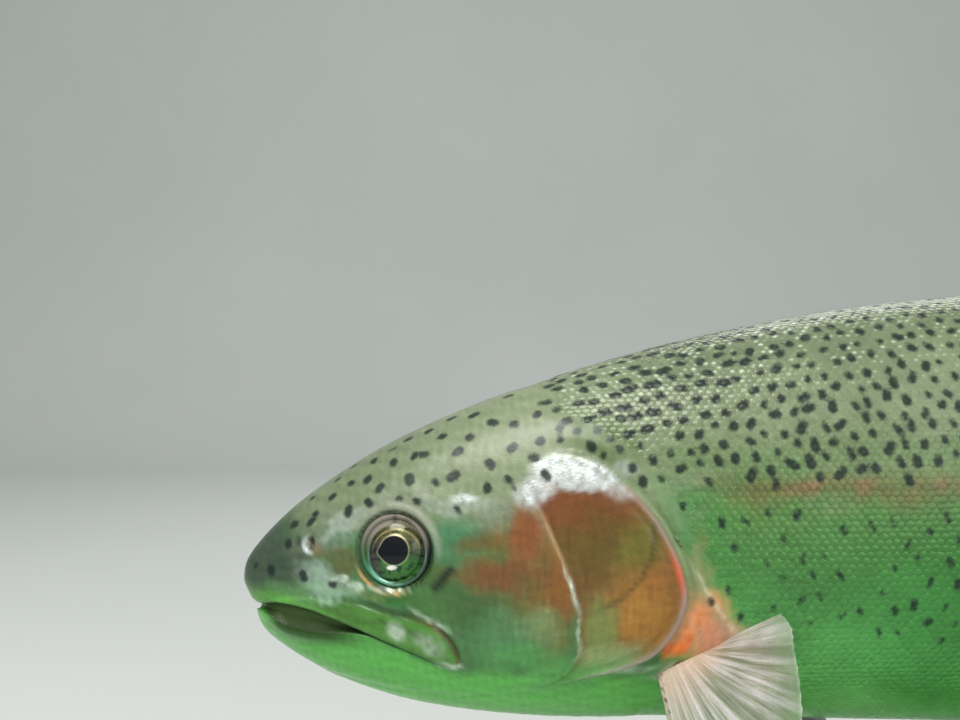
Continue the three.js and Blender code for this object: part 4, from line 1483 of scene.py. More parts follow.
@dataclass(frozen=True)
class WoodFinish(Finish):
    """Dark oiled wood with long grain."""

    name: str = "oiled wood"
    dark: Array = tint(58, 38, 24)
    light: Array = tint(104, 70, 44)

    def surface(self, bench: Bench) -> Sockets:
        """Grain and pores drawn out along the base."""
        place = bench.place((6.0, 60.0, 40.0))
        grain, pores = bench.noise(3.0, 6.0, at=place, twist=1.2), bench.noise(22.0, 2.0, at=place)
        colour = bench.blend(bench.range(grain, 0.35, 0.65), self.dark, self.light)
        colour = bench.blend(bench.range(pores, 0.6, 0.72, 0.0, 0.6), colour, self.dark * 0.4)
        rough = bench.math("ADD", bench.math("MULTIPLY", pores, 0.2), 0.32)
        return dict(Base_Color=colour, Roughness=rough, Normal=bench.bump(pores, 0.3, 0.0002),
                    Coat_Weight=0.2)


@dataclass(frozen=True)
class SteelFinish(Finish):
    """Steel brushed round its axis."""

    name: str = "brushed steel"

    def surface(self, bench: Bench) -> Sockets:
        """Fine lines, lighter and rougher by turns."""
        lines = bench.noise(1.0, 3.0, at=bench.place((30.0, 30.0, 2500.0)))
        colour = bench.blend(lines, linear(148, 149, 151), linear(206, 207, 209))
        rough = bench.math("ADD", bench.math("MULTIPLY", lines, 0.2), 0.18)
        return dict(Base_Color=colour, Metallic=1.0, Roughness=rough,
                    Normal=bench.bump(lines, 0.2, 0.0001))


@dataclass(frozen=True)
class PaperFinish(Finish):
    """The backdrop's pale paper."""

    name: str = "pale paper"

    def surface(self, bench: Bench) -> Sockets:
        """Faint cloudiness."""
        cloud = bench.noise(3.0, 3.0, 0.55)
        return dict(Base_Color=bench.blend(cloud, linear(196, 200, 198), linear(206, 209, 206)),
                    Roughness=0.85)


# ---- skin


@dataclass
class Skin:
    """One closed skin over the head, the jaws, the gill covers and the trunk.

    Its columns run round the body and its rows run along it, from two poles: the
    middle of the upper lip and the tip of the lower jaw. Between the lips the rows
    turn into the mouth and out again.
    """

    upper_rows: int = 78
    mouth_rows: int = 8
    lower_rows: int = 42
    head_step: float = 0.56
    trunk_step: float = 2.7
    scale_depth: float = 0.35
    # angles as shares of half a turn round from the back
    lip_level: float = 0.65  # the lip's row behind the mouth
    lip_width: float = 0.06  # between the lips' rows there
    lowest: float = 0.93  # the lowest place of the lower jaw's first row

    def stations(self) -> Array:
        """Stations of the columns, close over the head and wide over the trunk."""
        s = np.linspace(0, 1, 4000)
        path = FORM.rim(s, np.full_like(s, 1.35))
        run = np.concatenate([[0], np.cumsum(np.linalg.norm(np.diff(path, axis=0), axis=1))])
        step = self.head_step + (self.trunk_step - self.head_step) * smooth(path[:, 0], 112, 160)
        count = np.concatenate([[0], np.cumsum(np.diff(run) / step[1:])])
        return np.interp(np.linspace(0, count[-1], int(count[-1]) + 1), count, s)

    def lip_turn(self, s: Array) -> Array:
        """The angle of the row that is the upper lip, and behind the mouth its own."""
        x = FORM.length * s * s
        ahead = 1 - np.clip((s - FORM.s_at(MOUTH.front)) / MOUTH.front_span, 0, 1)
        turn = FORM.turn_at(s, MOUTH.lip_height(x))
        turn = pi - (pi - turn) * np.sqrt(1 - ahead**2)
        return turn + (self.lip_level * pi - turn) * smooth(x, 62, 110)

    def opening(self, s: Array) -> Array:
        """The angle between the lips' rows."""
        x = FORM.length * s * s
        lip = MOUTH.lip_height(x)
        gap = FORM.turn_at(s, lip - MOUTH.gap(x)) - FORM.turn_at(s, lip)
        return gap + (self.lip_width * pi - gap) * smooth(x, MOUTH.corner, FORM.head)

    def upper(self, s: Array) -> Pair:
        """Stations and angles of the upper rows.

        Seen from the front with s as the distance from the snout's tip, the columns
        are arcs about a centre that moves from the lip's middle to the snout's tip.

        Args:
            s: The columns' radii about that centre.

        Returns:
            Stations and angles, columns by rows.
        """
        front = FORM.s_at(MOUTH.front)
        centre = -front * fall(s, 0.3 * front, 3.0 * front)
        sweep = np.linspace(0, pi, 1500)
        across = s[:, None] * np.sin(sweep)
        up = centre[:, None] + s[:, None] * np.cos(sweep)
        over = np.arctan2(across, up) - self.lip_turn(np.hypot(across, up))
        passed = over > 0
        passed[:, -1] = True
        k = np.maximum(passed.argmax(1), 1)
        row = np.arange(len(s))
        before, after = over[row, k - 1], over[row, k]
        rise = after - before
        share = np.clip(-before / np.where(np.abs(rise) < 1e-9, 1e-9, rise), 0, 1)
        end = sweep[k - 1] + share * (sweep[1] - sweep[0])
        end[0] = end[1]
        rows = graded(self.upper_rows, (0.7, 0.8, 1.1, 1.45, 1.45, 1.1))
        turn = end[:, None] * rows
        across = s[:, None] * np.sin(turn)
        up = centre[:, None] + s[:, None] * np.cos(turn)
        return np.hypot(across, up), np.arctan2(across, up)

    def follow_gill(self, s: Array, turn: Array) -> Array:
        """Bends the columns so that they run along the gill cover's rear edge.

        Args:
            s: Stations.
            turn: Angles round them.

        Returns:
            The stations, moved.
        """
        edge = GILL_EDGE.xz[25:]
        order = np.argsort(edge[:, 1])
        x = FORM.length * s * s
        moved = x
        strength = smooth(x, 48, FORM.head) * fall(x, FORM.head, 165)
        for _ in range(3):
            z = FORM.rim(FORM.s_at(moved), turn)[..., 2]
            shift = np.interp(z, edge[order, 1], edge[order, 0]) - FORM.head
            top = fall(z, 22, 46)
            moved = x + np.maximum(shift, -17.0) * strength * top * smooth(z, -30, -14)
        return FORM.s_at(moved)

    def block(self, s: Array, turn: Array, jaw: bool = False) -> Array:
        """Places on the bare surface, with the lower jaw rounded to its tip.

        Args:
            s: Stations.
            turn: Angles round them.
            jaw: Whether this is the lower jaw's side of the mouth.

        Returns:
            The places, columns by rows by three.
        """
        place = FORM.rim(self.follow_gill(s, turn), turn)
        if jaw:
            ahead = 1 - np.clip((place[..., 0] - MOUTH.jaw_tip) / MOUTH.jaw_round, 0, 1)
            full = np.clip(1 - ahead**MOUTH.jaw_blunt, 0, 1) ** (1 / MOUTH.jaw_blunt)
            place[..., 1] *= full
            place[..., 2] = MOUTH.jaw_level + (place[..., 2] - MOUTH.jaw_level) * full
        return place

    def normals(self, place: Array) -> Array:
        """Directions out of a block of places, from its rows and columns."""
        rows, columns = np.gradient(place, axis=(0, 1))
        out = unit(np.cross(columns, rows))
        out[0] = unit(out[1].mean(0))
        middle = place.mean(1, keepdims=True)
        flip = np.sign(((place - middle) * out).sum(-1).mean())
        return out * flip

    def half(self) -> Array:
        """One side, from the back to the belly.

        Returns:
            For each column and row: x, y as the distance out, z, the share of mouth lining and its
                painted shade.
        """
        s = self.stations()
        upper_s, upper_turn = self.upper(s)
        radius = FORM.length * s * s
        drawn = MOUTH.jaw_tip + radius * (1 - MOUTH.jaw_tip / MOUTH.jaw_merge)
        low_s = FORM.s_at(np.where(radius < MOUTH.jaw_merge, drawn, radius))
        low_x = FORM.length * low_s**2
        edge = FORM.turn_at(low_s, MOUTH.lip_height(low_x) - MOUTH.gap(low_x))
        start = np.where(radius < MOUTH.corner, edge, self.lip_turn(s) + self.opening(s))
        start = np.minimum(start, self.lowest * pi)
        rows = graded(self.lower_rows, (1.2, 1.1, 1.0, 1.0, 0.9))
        low_turn = start[:, None] + (pi - start[:, None]) * rows
        mid = (np.arange(self.mouth_rows) + 1) / (self.mouth_rows + 1)
        end = upper_turn[:, -1:]
        above = self.block(upper_s, upper_turn)
        between = self.block(s[:, None], end + (start[:, None] - end) * mid)
        below = self.block(low_s[:, None], low_turn, jaw=True)
        self.seat_lip(above)
        for part, upper_share in ((above, 1.0), (between, 0.5), (below, 0.0)):
            bare = self.normals(part)
            x, z = part[..., 0].copy(), part[..., 2].copy()
            lift = RELIEF.height(x, z, upper_share) * fall(x, 125, 150)
            side = smooth(part[..., 1], 0.4, 4.0) if upper_share == 1.0 else 1.0
            covered = smooth(self.scaled(x, z), 0.0, 4.0)
            part += bare * (lift * side - self.scale_depth * covered)[..., None]
        self.mouth(above[:, -1], below[:, 0], between, mid)
        grid = np.concatenate([above, between, below], 1)
        grid[:, 0, 1] = grid[:, -1, 1] = 0.0
        x = above[:, -1:, 0]
        open_share = fall(x, MOUTH.corner - 3, MOUTH.corner + 2)
        open_share = open_share * (0.3 + 0.7 * smooth(MOUTH.gap(x) - MOUTH.shut_gap, 0.0, 1.6))
        lining, mouth_shade = np.zeros(grid.shape[:2]), np.ones(grid.shape[:2])
        first, last = self.upper_rows, self.upper_rows + self.mouth_rows
        lining[:, first:last] = open_share
        # the lips' edge rows take some of the fully darkened lining: painted shade along the lips
        lining[:, first - 1] = 0.35 * open_share[:, 0]
        lining[:, last] = 0.5 * open_share[:, 0]
        # painted shade in the open mouth, darkest by the lips
        mouth_shade[:, first:last] = 0.8 - 0.68 * bell(mid - 0.45, 0.3)
        return np.concatenate([grid, lining[..., None], mouth_shade[..., None]], -1)

    def seat_lip(self, above: Array) -> None:
        """Draws the snout's underside up, so that its lip lies on its own line.

        Heights below the snout's tip are multiplied by the lip's height over the
        height that the bare outline has there.
        """
        end = above[:, -1]
        share = MOUTH.lip_height(end[:, 0]) / np.minimum(end[:, 2], -1.0)
        share = 1 + (share - 1) * fall(end[:, 0], 18.0, 28.0)
        height = above[..., 2]
        above[..., 2] = height * (1 + (share[:, None] - 1) * smooth(-height, 0.0, 4.5))

    def mouth(self, upper: Array, lower: Array, between: Array, mid: Array) -> None:
        """Turns the rows between the lips into the mouth.

        Each column leaves the upper lip, runs inwards across the lip's line, and
        comes back to the lower lip.

        Args:
            upper: The upper lip's row.
            lower: The lower lip's row.
            between: The rows between them, which are moved.
            mid: Those rows' shares of the way from lip to lip.
        """
        tangent = np.gradient(upper[:, :2], axis=0)
        tangent[0] = (0.0, 1.0)
        inward = unit(np.stack([tangent[:, 1], -tangent[:, 0]], -1))
        depth = np.interp(
            upper[:, 0], (0, 3, 14, 30, 46, MOUTH.corner), (1.4, 1.6, 2.6, 2.8, 1.6, 0.4))
        reach = depth[:, None] * (1 - np.abs(2 * mid**0.75 - 1) ** 2.2)
        arc = upper[:, None] + (lower - upper)[:, None] * mid[:, None]
        arc[..., :2] += inward[:, None] * reach[..., None]
        arc[..., 1] = np.maximum(arc[..., 1], 0.0)
        arc[0, :, 1] = 0.0
        shut = smooth(upper[:, 0], MOUTH.corner - 3, MOUTH.corner + 2)[:, None, None]
        between[:] = arc * (1 - shut) + between * shut

    @staticmethod
    def scaled(x: Array, z: Array) -> Array:
        """How far a place lies behind the front edge of the scales, in millimetres."""
        out = np.asarray(x, float) - FORM.head
        near = out < 30.0
        out[near], _ = SHOULDER.nearest(x[near], z[near])
        return out

    def build(self) -> Piece:
        """Builds the skin and hands it in for the solids of flesh."""
        half = self.half()
        ends = []
        for back, flat in ((1.5, 0.85), (3.2, 0.6), (TAIL_POINT, 0.3), (TAIL_POINT, 0.0)):
            ends.append(half[-1:].copy())
            ends[-1][..., 0] += back
            ends[-1][..., 1] *= flat
        half = np.concatenate([half, *ends])
        ring = np.concatenate([half, half[:, -2:0:-1]], 1)
        x, y, z, lining, mouth_shade = ring.reshape(-1, 5).T
        left = np.arange(ring.shape[1]) < half.shape[1]
        y = y * np.tile(np.where(left, Side.LEFT.value, Side.RIGHT.value), len(ring))
        # the mouth's lining, darkened by its painted shade
        inside = mix(PALETTE.inside, PALETTE.dark, mouth_shade)
        values = {
            "tone": mix(MARKINGS.tone(x, z), inside, lining),
            "spot": SPOTS.distance(np.stack([x, y, z], -1)) + SPOTS.reach * lining,
            "silver": MARKINGS.silver(x, z) * (1 - lining),
            "dull": lining,
        }
        sheet = Sheet(ring, wrap=True)
        points = np.stack([x, y + FORM.sweep(x), z], -1)
        piece = make_mesh("skin", points, sheet.faces(), values, sheet.unwrap(), weld=2e-6)
        nodes = ["head", "lower_jaw", "throat", "trunk", "tail_stalk", "gill_cover_left",
                 "gill_cover_right", "maxilla_left", "maxilla_right"]
        return hand_in(piece, LivingFinish("wet skin").material(), nodes)


# ---- scales


@dataclass
class Scales:
    """Small overlapping scales in rows along the body, as six joined pieces.

    Each scale is a shallow closed lens that follows the body's curve. Its rear edge
    stands up over the next scale's root.
    """

    pitch: float = 1.95
    first: float = 78.0  # the foremost column's distance behind the snout
    row: float = 1.36
    long: float = 1.6  # half its length
    wide: float = 1.28  # half its width
    rise: float = 0.1  # how far its rear edge stands up
    crown: float = 0.05  # how far its middle stands over the line to its rear edge
    root: float = -0.45  # how deep its underside's middle lies
    around: int = 9
    seed: int = 23
    bands: Sequence[tuple[str, float, float]] = (
        ("back", -90.0, -12.0), ("flank", -12.0, 27.0), ("belly", 27.0, 130.0))

    def template(self) -> Pair:
        """One scale: along, across and height for each point, and its faces."""
        turn = np.linspace(0, tau, self.around, endpoint=False)
        ring = np.stack([np.cos(turn), np.sin(turn)], -1)
        inner = np.concatenate([ring * 0.7, np.ones((self.around, 1))], 1)
        outer = np.concatenate([ring, np.zeros((self.around, 1))], 1)
        points = np.concatenate([[[0, 0, 1.0]], inner, outer, [[0, 0, -1.0]]])
        i = np.arange(self.around)
        k = (i + 1) % self.around
        a, b, c, d = 1 + i, 1 + k, 1 + self.around + i, 1 + self.around + k
        last = np.full_like(i, 1 + 2 * self.around)
        faces = np.concatenate([
            np.stack([0 * i, a, b], -1), np.stack([a, c, d], -1), np.stack([a, d, b], -1),
            np.stack([last, d, c], -1),
        ])
        return points, faces

    def layout(self, low: float, high: float, draw: Random) -> Pair:
        """Roots of the scales in a band: distance behind the snout and round from the pores.

        Args:
            low: The band's upper edge, as a distance round from the pores.
            high: Its lower edge.
            draw: The random numbers.

        Returns:
            Distances behind the snout, and distances round.
        """
        rows = np.arange(ceil(low / self.row), ceil(high / self.row))
        columns = np.arange(int((FORM.length + 3 - self.first) / self.pitch))
        j, i = np.meshgrid(rows, columns, indexing="ij")
        x = self.first + (i + 0.5 * (j % 2)) * self.pitch + draw.uniform(-0.22, 0.22, i.shape)
        down = j * self.row + draw.uniform(-0.13, 0.13, i.shape)
        x, down = x.ravel(), down.ravel()
        arc = GIRTH.to_middle(x) + down
        keep = (arc > 0.35) & (arc < GIRTH.half_girth(x) - 0.35)
        x, down = x[keep], down[keep]
        place = GIRTH.point(x, GIRTH.from_back(x, GIRTH.to_middle(x) + down))
        keep = Skin.scaled(x, place[:, 2]) > 0.3
        return x[keep], down[keep]

    def build(self) -> list[Piece]:
        """Builds the six pieces."""
        material = LivingFinish(
            "wet scales", scaled=True, strength=0.3, roughness=0.34, film=0.1).material()
        return [
            self.band(f"scales_{label}_{side.name.lower()}", side, low, high, material)
            for side in Side for label, low, high in self.bands]

    def band(
        self, name: str, side: Side, low: float, high: float, material: Material
    ) -> Piece:
        """Builds the scales of one band of one side.

        Args:
            name: The piece's name.
            side: Which side.
            low: The band's upper edge, as a distance round from the pores.
            high: Its lower edge.
            material: The scales' finish.

        Returns:
            The joined piece.
        """
        draw = np.random.default_rng(self.seed + 2 * abs(round(low)) + (side is Side.LEFT))
        x, down = self.layout(low, high, draw)
        template, faces = self.template()
        count, size = len(x), len(template)
        rear, aside, layer = template.T
        z = GIRTH.point(x, GIRTH.from_back(x, GIRTH.to_middle(x) + down))[:, 2]
        young = smooth(Skin.scaled(x, z), 0.0, 8.0)[:, None]
        small = 0.7 + 0.3 * young
        place_x = np.minimum(x[:, None] + rear * self.long * small, FORM.length + 5.5)
        arc = GIRTH.to_middle(place_x) + down[:, None] + aside * self.wide * small
        arc = np.clip(arc, 0.02, GIRTH.half_girth(place_x) - 0.02).ravel()
        place_x = place_x.ravel()
        turn = GIRTH.from_back(place_x, arc)
        surface = GIRTH.point(place_x, turn)
        ahead = GIRTH.point(place_x + 0.05, turn)
        lower = GIRTH.point(place_x, np.minimum(turn + 0.004, pi))
        higher = GIRTH.point(place_x, np.maximum(turn - 0.004, 0.0))
        normal = unit(np.cross(ahead - surface, higher - lower))
        normal *= np.sign(normal[:, 1:2] * surface[:, 1:2] + 1e-6)
        straight = np.stack([0 * turn, 0 * turn, np.where(turn < 1.5, 1.0, -1.0)], -1)
        normal = np.where((surface[:, 1] < 0.6)[:, None], straight, normal)
        tilt = draw.normal(0, 0.022, (2, count, 1))
        level = FORM.level(x, z)
        flank = 1 - 0.4 * fall(level, -0.1, 0.3)[:, None]
        lift = 0.02 - 0.08 * (1 - young)
        lift = lift + self.rise * flank * (rear + 1) / 2 * (0.35 + 0.65 * young)
        lift = lift + tilt[0] * rear + tilt[1] * aside
        rim = lift - self.rise * (1 + rear) / 2 - 0.04
        lift = np.where(layer > 0.5, lift + self.crown * flank, rim)
        lift = np.where(layer < -0.5, self.root, lift) - Skin.scale_depth
        points = surface + normal * lift.reshape(-1, 1)
        points[:, 1] *= side.value
        own = draw.uniform(0, 1, count)
        # glint: how strong each scale's painted glint is, most on the upper back and nape
        nape = smooth(level, 0.4, 0.85) * (0.4 + 0.6 * fall(x, 110, 190))
        glint = own * young[:, 0] * (0.12 + 0.28 * smooth(level, 0.0, 0.4) + 0.55 * nape)
        middle = np.hypot(rear, aside)
        dot = np.where((layer > 0.5) & (middle < 0.1), 1.0, 0.05)
        x_all, _, z_all = points.T
        each = np.repeat(own, size)
        values = {
            "tone": MARKINGS.tone(x_all, z_all) * (0.93 + 0.14 * each)[:, None],
            "spot": SPOTS.distance(points),
            "silver": MARKINGS.silver(x_all, z_all) * (0.7 + 0.3 * each),
            # rim: where the painted shade along each scale's rear edge lies
            "rim": (middle * smooth(rear, -0.6, 0.3) * (0.3 + 0.7 * young)).ravel(),
            "glint": (glint[:, None] * dot).ravel(),
        }
        faces = (faces[None] + (np.arange(count) * size)[:, None, None]).reshape(-1, 3)
        if side is Side.RIGHT:
            faces = faces[:, ::-1]
        spread = np.maximum(high - low, 1.0)
        root_u = 0.01 + 0.98 * (x - self.first) / (FORM.length + 6 - self.first)
        root_v = 0.01 + 0.98 * (down - down.min()) / max(float(np.ptp(down)), spread * 0.2)
        patch = np.stack([root_u, root_v], -1)[:, None] + template[None, :, :2] * 0.0015
        unwrap = patch.reshape(-1, 2)[faces.ravel()]
        points[:, 1] += FORM.sweep(points[:, 0])
        piece = make_mesh(name, points, faces, values, unwrap)
        return hand_in(piece, material)


# ---- fins


@dataclass(frozen=True)
class Fin:
    """A fan of branched rays from a base line, with thin membrane between them.

    Across it u runs from the leading ray to the last, and along each ray t runs
    from the base to the margin. Lengths are shares of the longest ray.
    """

    name: str
    base: tuple[Triple, Triple]
    lead: Triple
    trail: Triple
    length: float
    shares: Sequence[float]
    thick: float
    rays: int
    curl: float = 0.0
    droop: float = 0.0
    fray: float = 0.012
    membrane: float = 0.14  # half of its thickness
    ridge: float = 0.11  # a ray's height above it
    spots: int = 0
    edge_spots: int = 0
    spot_reach: float = 3.0
    ray_detail: int = 10
    steps: int = 46

    def mirrored(self) -> "Fin":
        """The same fin on the other side."""
        lead, trail, *base = (
            (x, -y, z) for x, y, z in (self.lead, self.trail, *self.base))
        return replace(self, name=self.name.replace("left", "right"), base=tuple(base),
                       lead=lead, trail=trail, curl=-self.curl)

    @staticmethod
    def both(table: Array) -> Array:
        """A table for the front face, and the same turned round for the back."""
        return np.concatenate([table, table[:, ::-1]], 1)

    def middle(self, u: Array, t: Array) -> Pair:
        """The fin's middle surface and the direction across it.

        Args:
            u: Shares of the fan, from the leading ray.
            t: Shares of each ray, from the base.

        Returns:
            Points of the surface, and the one direction.
        """
        lead, trail = unit(np.array(self.lead)), unit(np.array(self.trail))
        normal = unit(np.cross(lead, trail))
        fan = acos(float(np.clip(lead @ trail, -1, 1)))
        turn = fan * u + self.droop * t * (1 - u)
        across = np.cross(normal, lead)
        way = np.cos(turn)[..., None] * lead + np.sin(turn)[..., None] * across
        reach = self.length * along(self.shares, u) * t
        start, end = np.array(self.base[0]), np.array(self.base[1])
        base = start + (end - start) * u[..., None]
        wave = 0.35 * np.sin(9 * u + 2 * t) * t**2
        point = base + way * reach[..., None] + normal * (self.curl * t**2 + wave)[..., None]
        return point, normal

    def build(self, material: Material) -> Piece:
        """Builds the fin and hands it in for its solid.

        Half of its thickness is the membrane's, plus a ridge along each ray that
        parts in two towards the margin, plus flesh that fades out from the base.

        Args:
            material: The fin's finish.

        Returns:
            The fin.
        """
        draw = np.random.default_rng(len(self.name) + self.rays)
        u = np.linspace(0, 1, self.rays * self.ray_detail + 1)
        t = np.linspace(0, 1, self.steps + 1) ** 0.9
        u, t = np.meshgrid(u, t, indexing="ij")
        phase = u * self.rays
        uneven = np.interp(
            phase[:, 0], np.arange(self.rays + 1), draw.uniform(0.35, 1.0, self.rays + 1))
        single = (0.5 + 0.5 * np.cos(tau * phase)) * uneven[:, None]
        double = (0.5 + 0.5 * np.cos(4 * pi * phase)) * uneven[:, None]
        parted = smooth(t, 0.35, 0.75)
        ridge = single**2 * (1 - parted) + (0.35 * single + 0.65 * double) * parted
        ragged = np.interp(phase[:, 0], np.arange(self.rays * 2 + 1) / 2,
                           draw.uniform(0, 1, self.rays * 2 + 1))
        cut = 1 - self.fray * (ragged[:, None] + 0.8 * (1 - double)) * smooth(t, 0.6, 1.0)
        cut = cut * (1 - 0.08 * smooth(u, 0.84, 1.0) ** 2) * (1 - 0.06 * fall(u, 0.0, 0.06))
        middle, normal = self.middle(u, t * cut)
        edge = np.sqrt(np.clip(np.sin(pi * (0.04 + 0.92 * u)), 0, 1))
        flesh = (self.thick / 2 - 0.35) * (0.35 + 0.65 * edge) * (1 - t) ** 2.2
        lead_ray = 0.25 * bell(u, 0.6 / self.rays) * (1 - t)
        half = self.membrane + self.ridge * ridge * (1 - 0.4 * t) + flesh + lead_ray
        half = half * (1 - 0.6 * smooth(t, 0.93, 1.0))
        front = middle + normal * half[..., None]
        back = middle - normal * half[..., None]
        ring = np.concatenate([front, back[:, ::-1]], 1)
        values = {"ridge": ridge, "reach": t, "fan": u * self.rays * 1.6 + 0.35 * t * (u - 0.5),
                  "spot": self.spot_distance(middle, draw)}
        values = {label: self.both(table).ravel() for label, table in values.items()}
        ring[..., 1] += FORM.sweep(ring[..., 0])
        sheet = Sheet(ring, wrap=True)
        caps = self.caps(ring.shape[0], t.shape[1])
        faces = np.concatenate([sheet.faces(), caps])
        unwrap = np.concatenate([sheet.unwrap(), np.zeros((len(caps), 4, 2))])
        piece = make_mesh(self.name, ring, faces, values, unwrap, weld=1e-7)
        return hand_in(piece, material, [self.name])

    @staticmethod
    def caps(rows: int, columns: int) -> Array:
        """Faces that close the leading and the last edge."""
        j = np.arange(columns - 1)
        first = np.stack([j, j + 1, 2 * columns - 2 - j, 2 * columns - 1 - j], -1)
        last = first[:, ::-1] + (rows - 1) * 2 * columns
        return np.concatenate([first, last])

    def spot_distance(self, middle: Array, draw: Random) -> Array:
        """The distance to the nearest of the fin's spots, which stand between its rays.

        Args:
            middle: The fin's middle surface.
            draw: The random numbers.

        Returns:
            Distances in millimetres, at most the reach.
        """
        if not self.spots + self.edge_spots:
            return np.full(middle.shape[:2], self.spot_reach)
        where = draw.uniform(0.05, 0.95, (self.spots, 2))
        where[:, 1] = 0.12 + 0.8 * where[:, 1]
        edge = np.linspace(0.12, 0.95, self.edge_spots)
        where = np.concatenate([where, np.stack([0.03 + 0 * edge, edge], -1)])
        centres, _ = self.middle(where[:, 0], where[:, 1])
        away = np.linalg.norm(middle.reshape(-1, 1, 3) - centres[None], axis=-1)
        sizes = np.concatenate([np.full(self.spots, 1.0), np.full(self.edge_spots, 0.62)])
        away = away - draw.uniform(0.6, 1.25, len(where)) * sizes
        return np.minimum(away.min(1), self.spot_reach).reshape(middle.shape[:2])


SINK = 5.0  # how deep a fin's base line lies under the body's surface
LENGTH = 447.0  # from the snout to the end of the backbone, as the fins' places count it


def on_back(share: float) -> Triple:
    """A fin's base point under the back, by its share of the length."""
    x = share * LENGTH
    return (x, 0.0, FORM.back_height(FORM.s_at(x)) - SINK)


def on_belly(share: float) -> Triple:
    """A fin's base point above the belly, by its share of the length."""
    x = share * LENGTH
    return (x, 0.0, FORM.belly_height(FORM.s_at(x)) + SINK)


@dataclass(frozen=True)
class Fins:
    """The eight fins."""

    def shapes(self) -> list[Fin]:
        """Their shapes, as the solids have them."""
        end_back, end_belly = FORM.back_height(1.0), FORM.belly_height(1.0)
        pectoral = Fin("pectoral_fin_left", ((0.955 * FORM.head, -18.5, -13.9),
                                             (1.075 * FORM.head, -21, -13.7)),
                       (0, -0.73, -0.69), (0.14, -0.86, 0.52), 63,
                       (0.93, 1.0, 0.98, 0.9, 0.78, 0.63, 0.53), 3.2, 13, -4, 0.12, edge_spots=17)
        pelvic = Fin("pelvic_fin_left", ((236.9, -8, -32.5), (246.7, -5.5, -33)),
                     (0.66, -0.5, -0.56), (0.96, -0.12, -0.24), 55,
                     (0.92, 1.0, 0.96, 0.88, 0.78, 0.66, 0.55), 3, 10, -3)
        return [
            Fin("dorsal_fin", (on_back(0.474), on_back(0.612)), (0.6, 0, 0.8), (0.86, 0, 0.5), 57,
                (0.92, 1.0, 0.95, 0.86, 0.77, 0.68, 0.6), 3.4, 13, spots=46),
            Fin("adipose_fin", (on_back(0.802), on_back(0.83)), (0.8, 0, 0.6), (0.99, 0, 0.16), 27,
                (0.82, 1.0, 0.97, 0.78, 0.5), 3, 3, fray=0.0, spots=4, ray_detail=16),
            Fin("anal_fin", (on_belly(0.735), on_belly(0.838)), (0.5, 0, -0.86), (0.84, 0, -0.54),
                47, (0.9, 1.0, 0.93, 0.81, 0.7, 0.61, 0.54), 3, 12),
            Fin("tail_fin", ((442, 0, end_back - 4), (442, 0, end_belly + 4)), (0.83, 0, 0.56),
                (0.83, 0, -0.56), 73, (0.9, 1.0, 0.91, 0.83, 0.79, 0.83, 0.91, 1.0, 0.9), 5, 19,
                spots=90, ray_detail=9),
            pectoral, pectoral.mirrored(), pelvic, pelvic.mirrored(),
        ]

    def build(self) -> list[Piece]:
        """Builds every fin, the paired ones paler than the others."""
        dark = FinFinish("olive fin", linear(104, 114, 80), linear(140, 146, 110), PALETTE.back,
                         linear(76, 84, 58))
        pale = FinFinish("pale fin", linear(152, 158, 138), linear(216, 208, 212),
                         linear(204, 178, 158), linear(84, 94, 70), margin=linear(112, 146, 102))
        low = FinFinish("belly fin", linear(136, 148, 110), linear(180, 182, 150),
                        PALETTE.low_flank, linear(112, 120, 84))
        upper, front, under = dark.material(), pale.material(), low.material()
        chosen = {"dorsal_fin": upper, "adipose_fin": upper, "tail_fin": upper,
                  "pectoral_fin_left": front, "pectoral_fin_right": front}
        return [shape.build(chosen.get(shape.name, under)) for shape in self.shapes()]


# ---- eyes


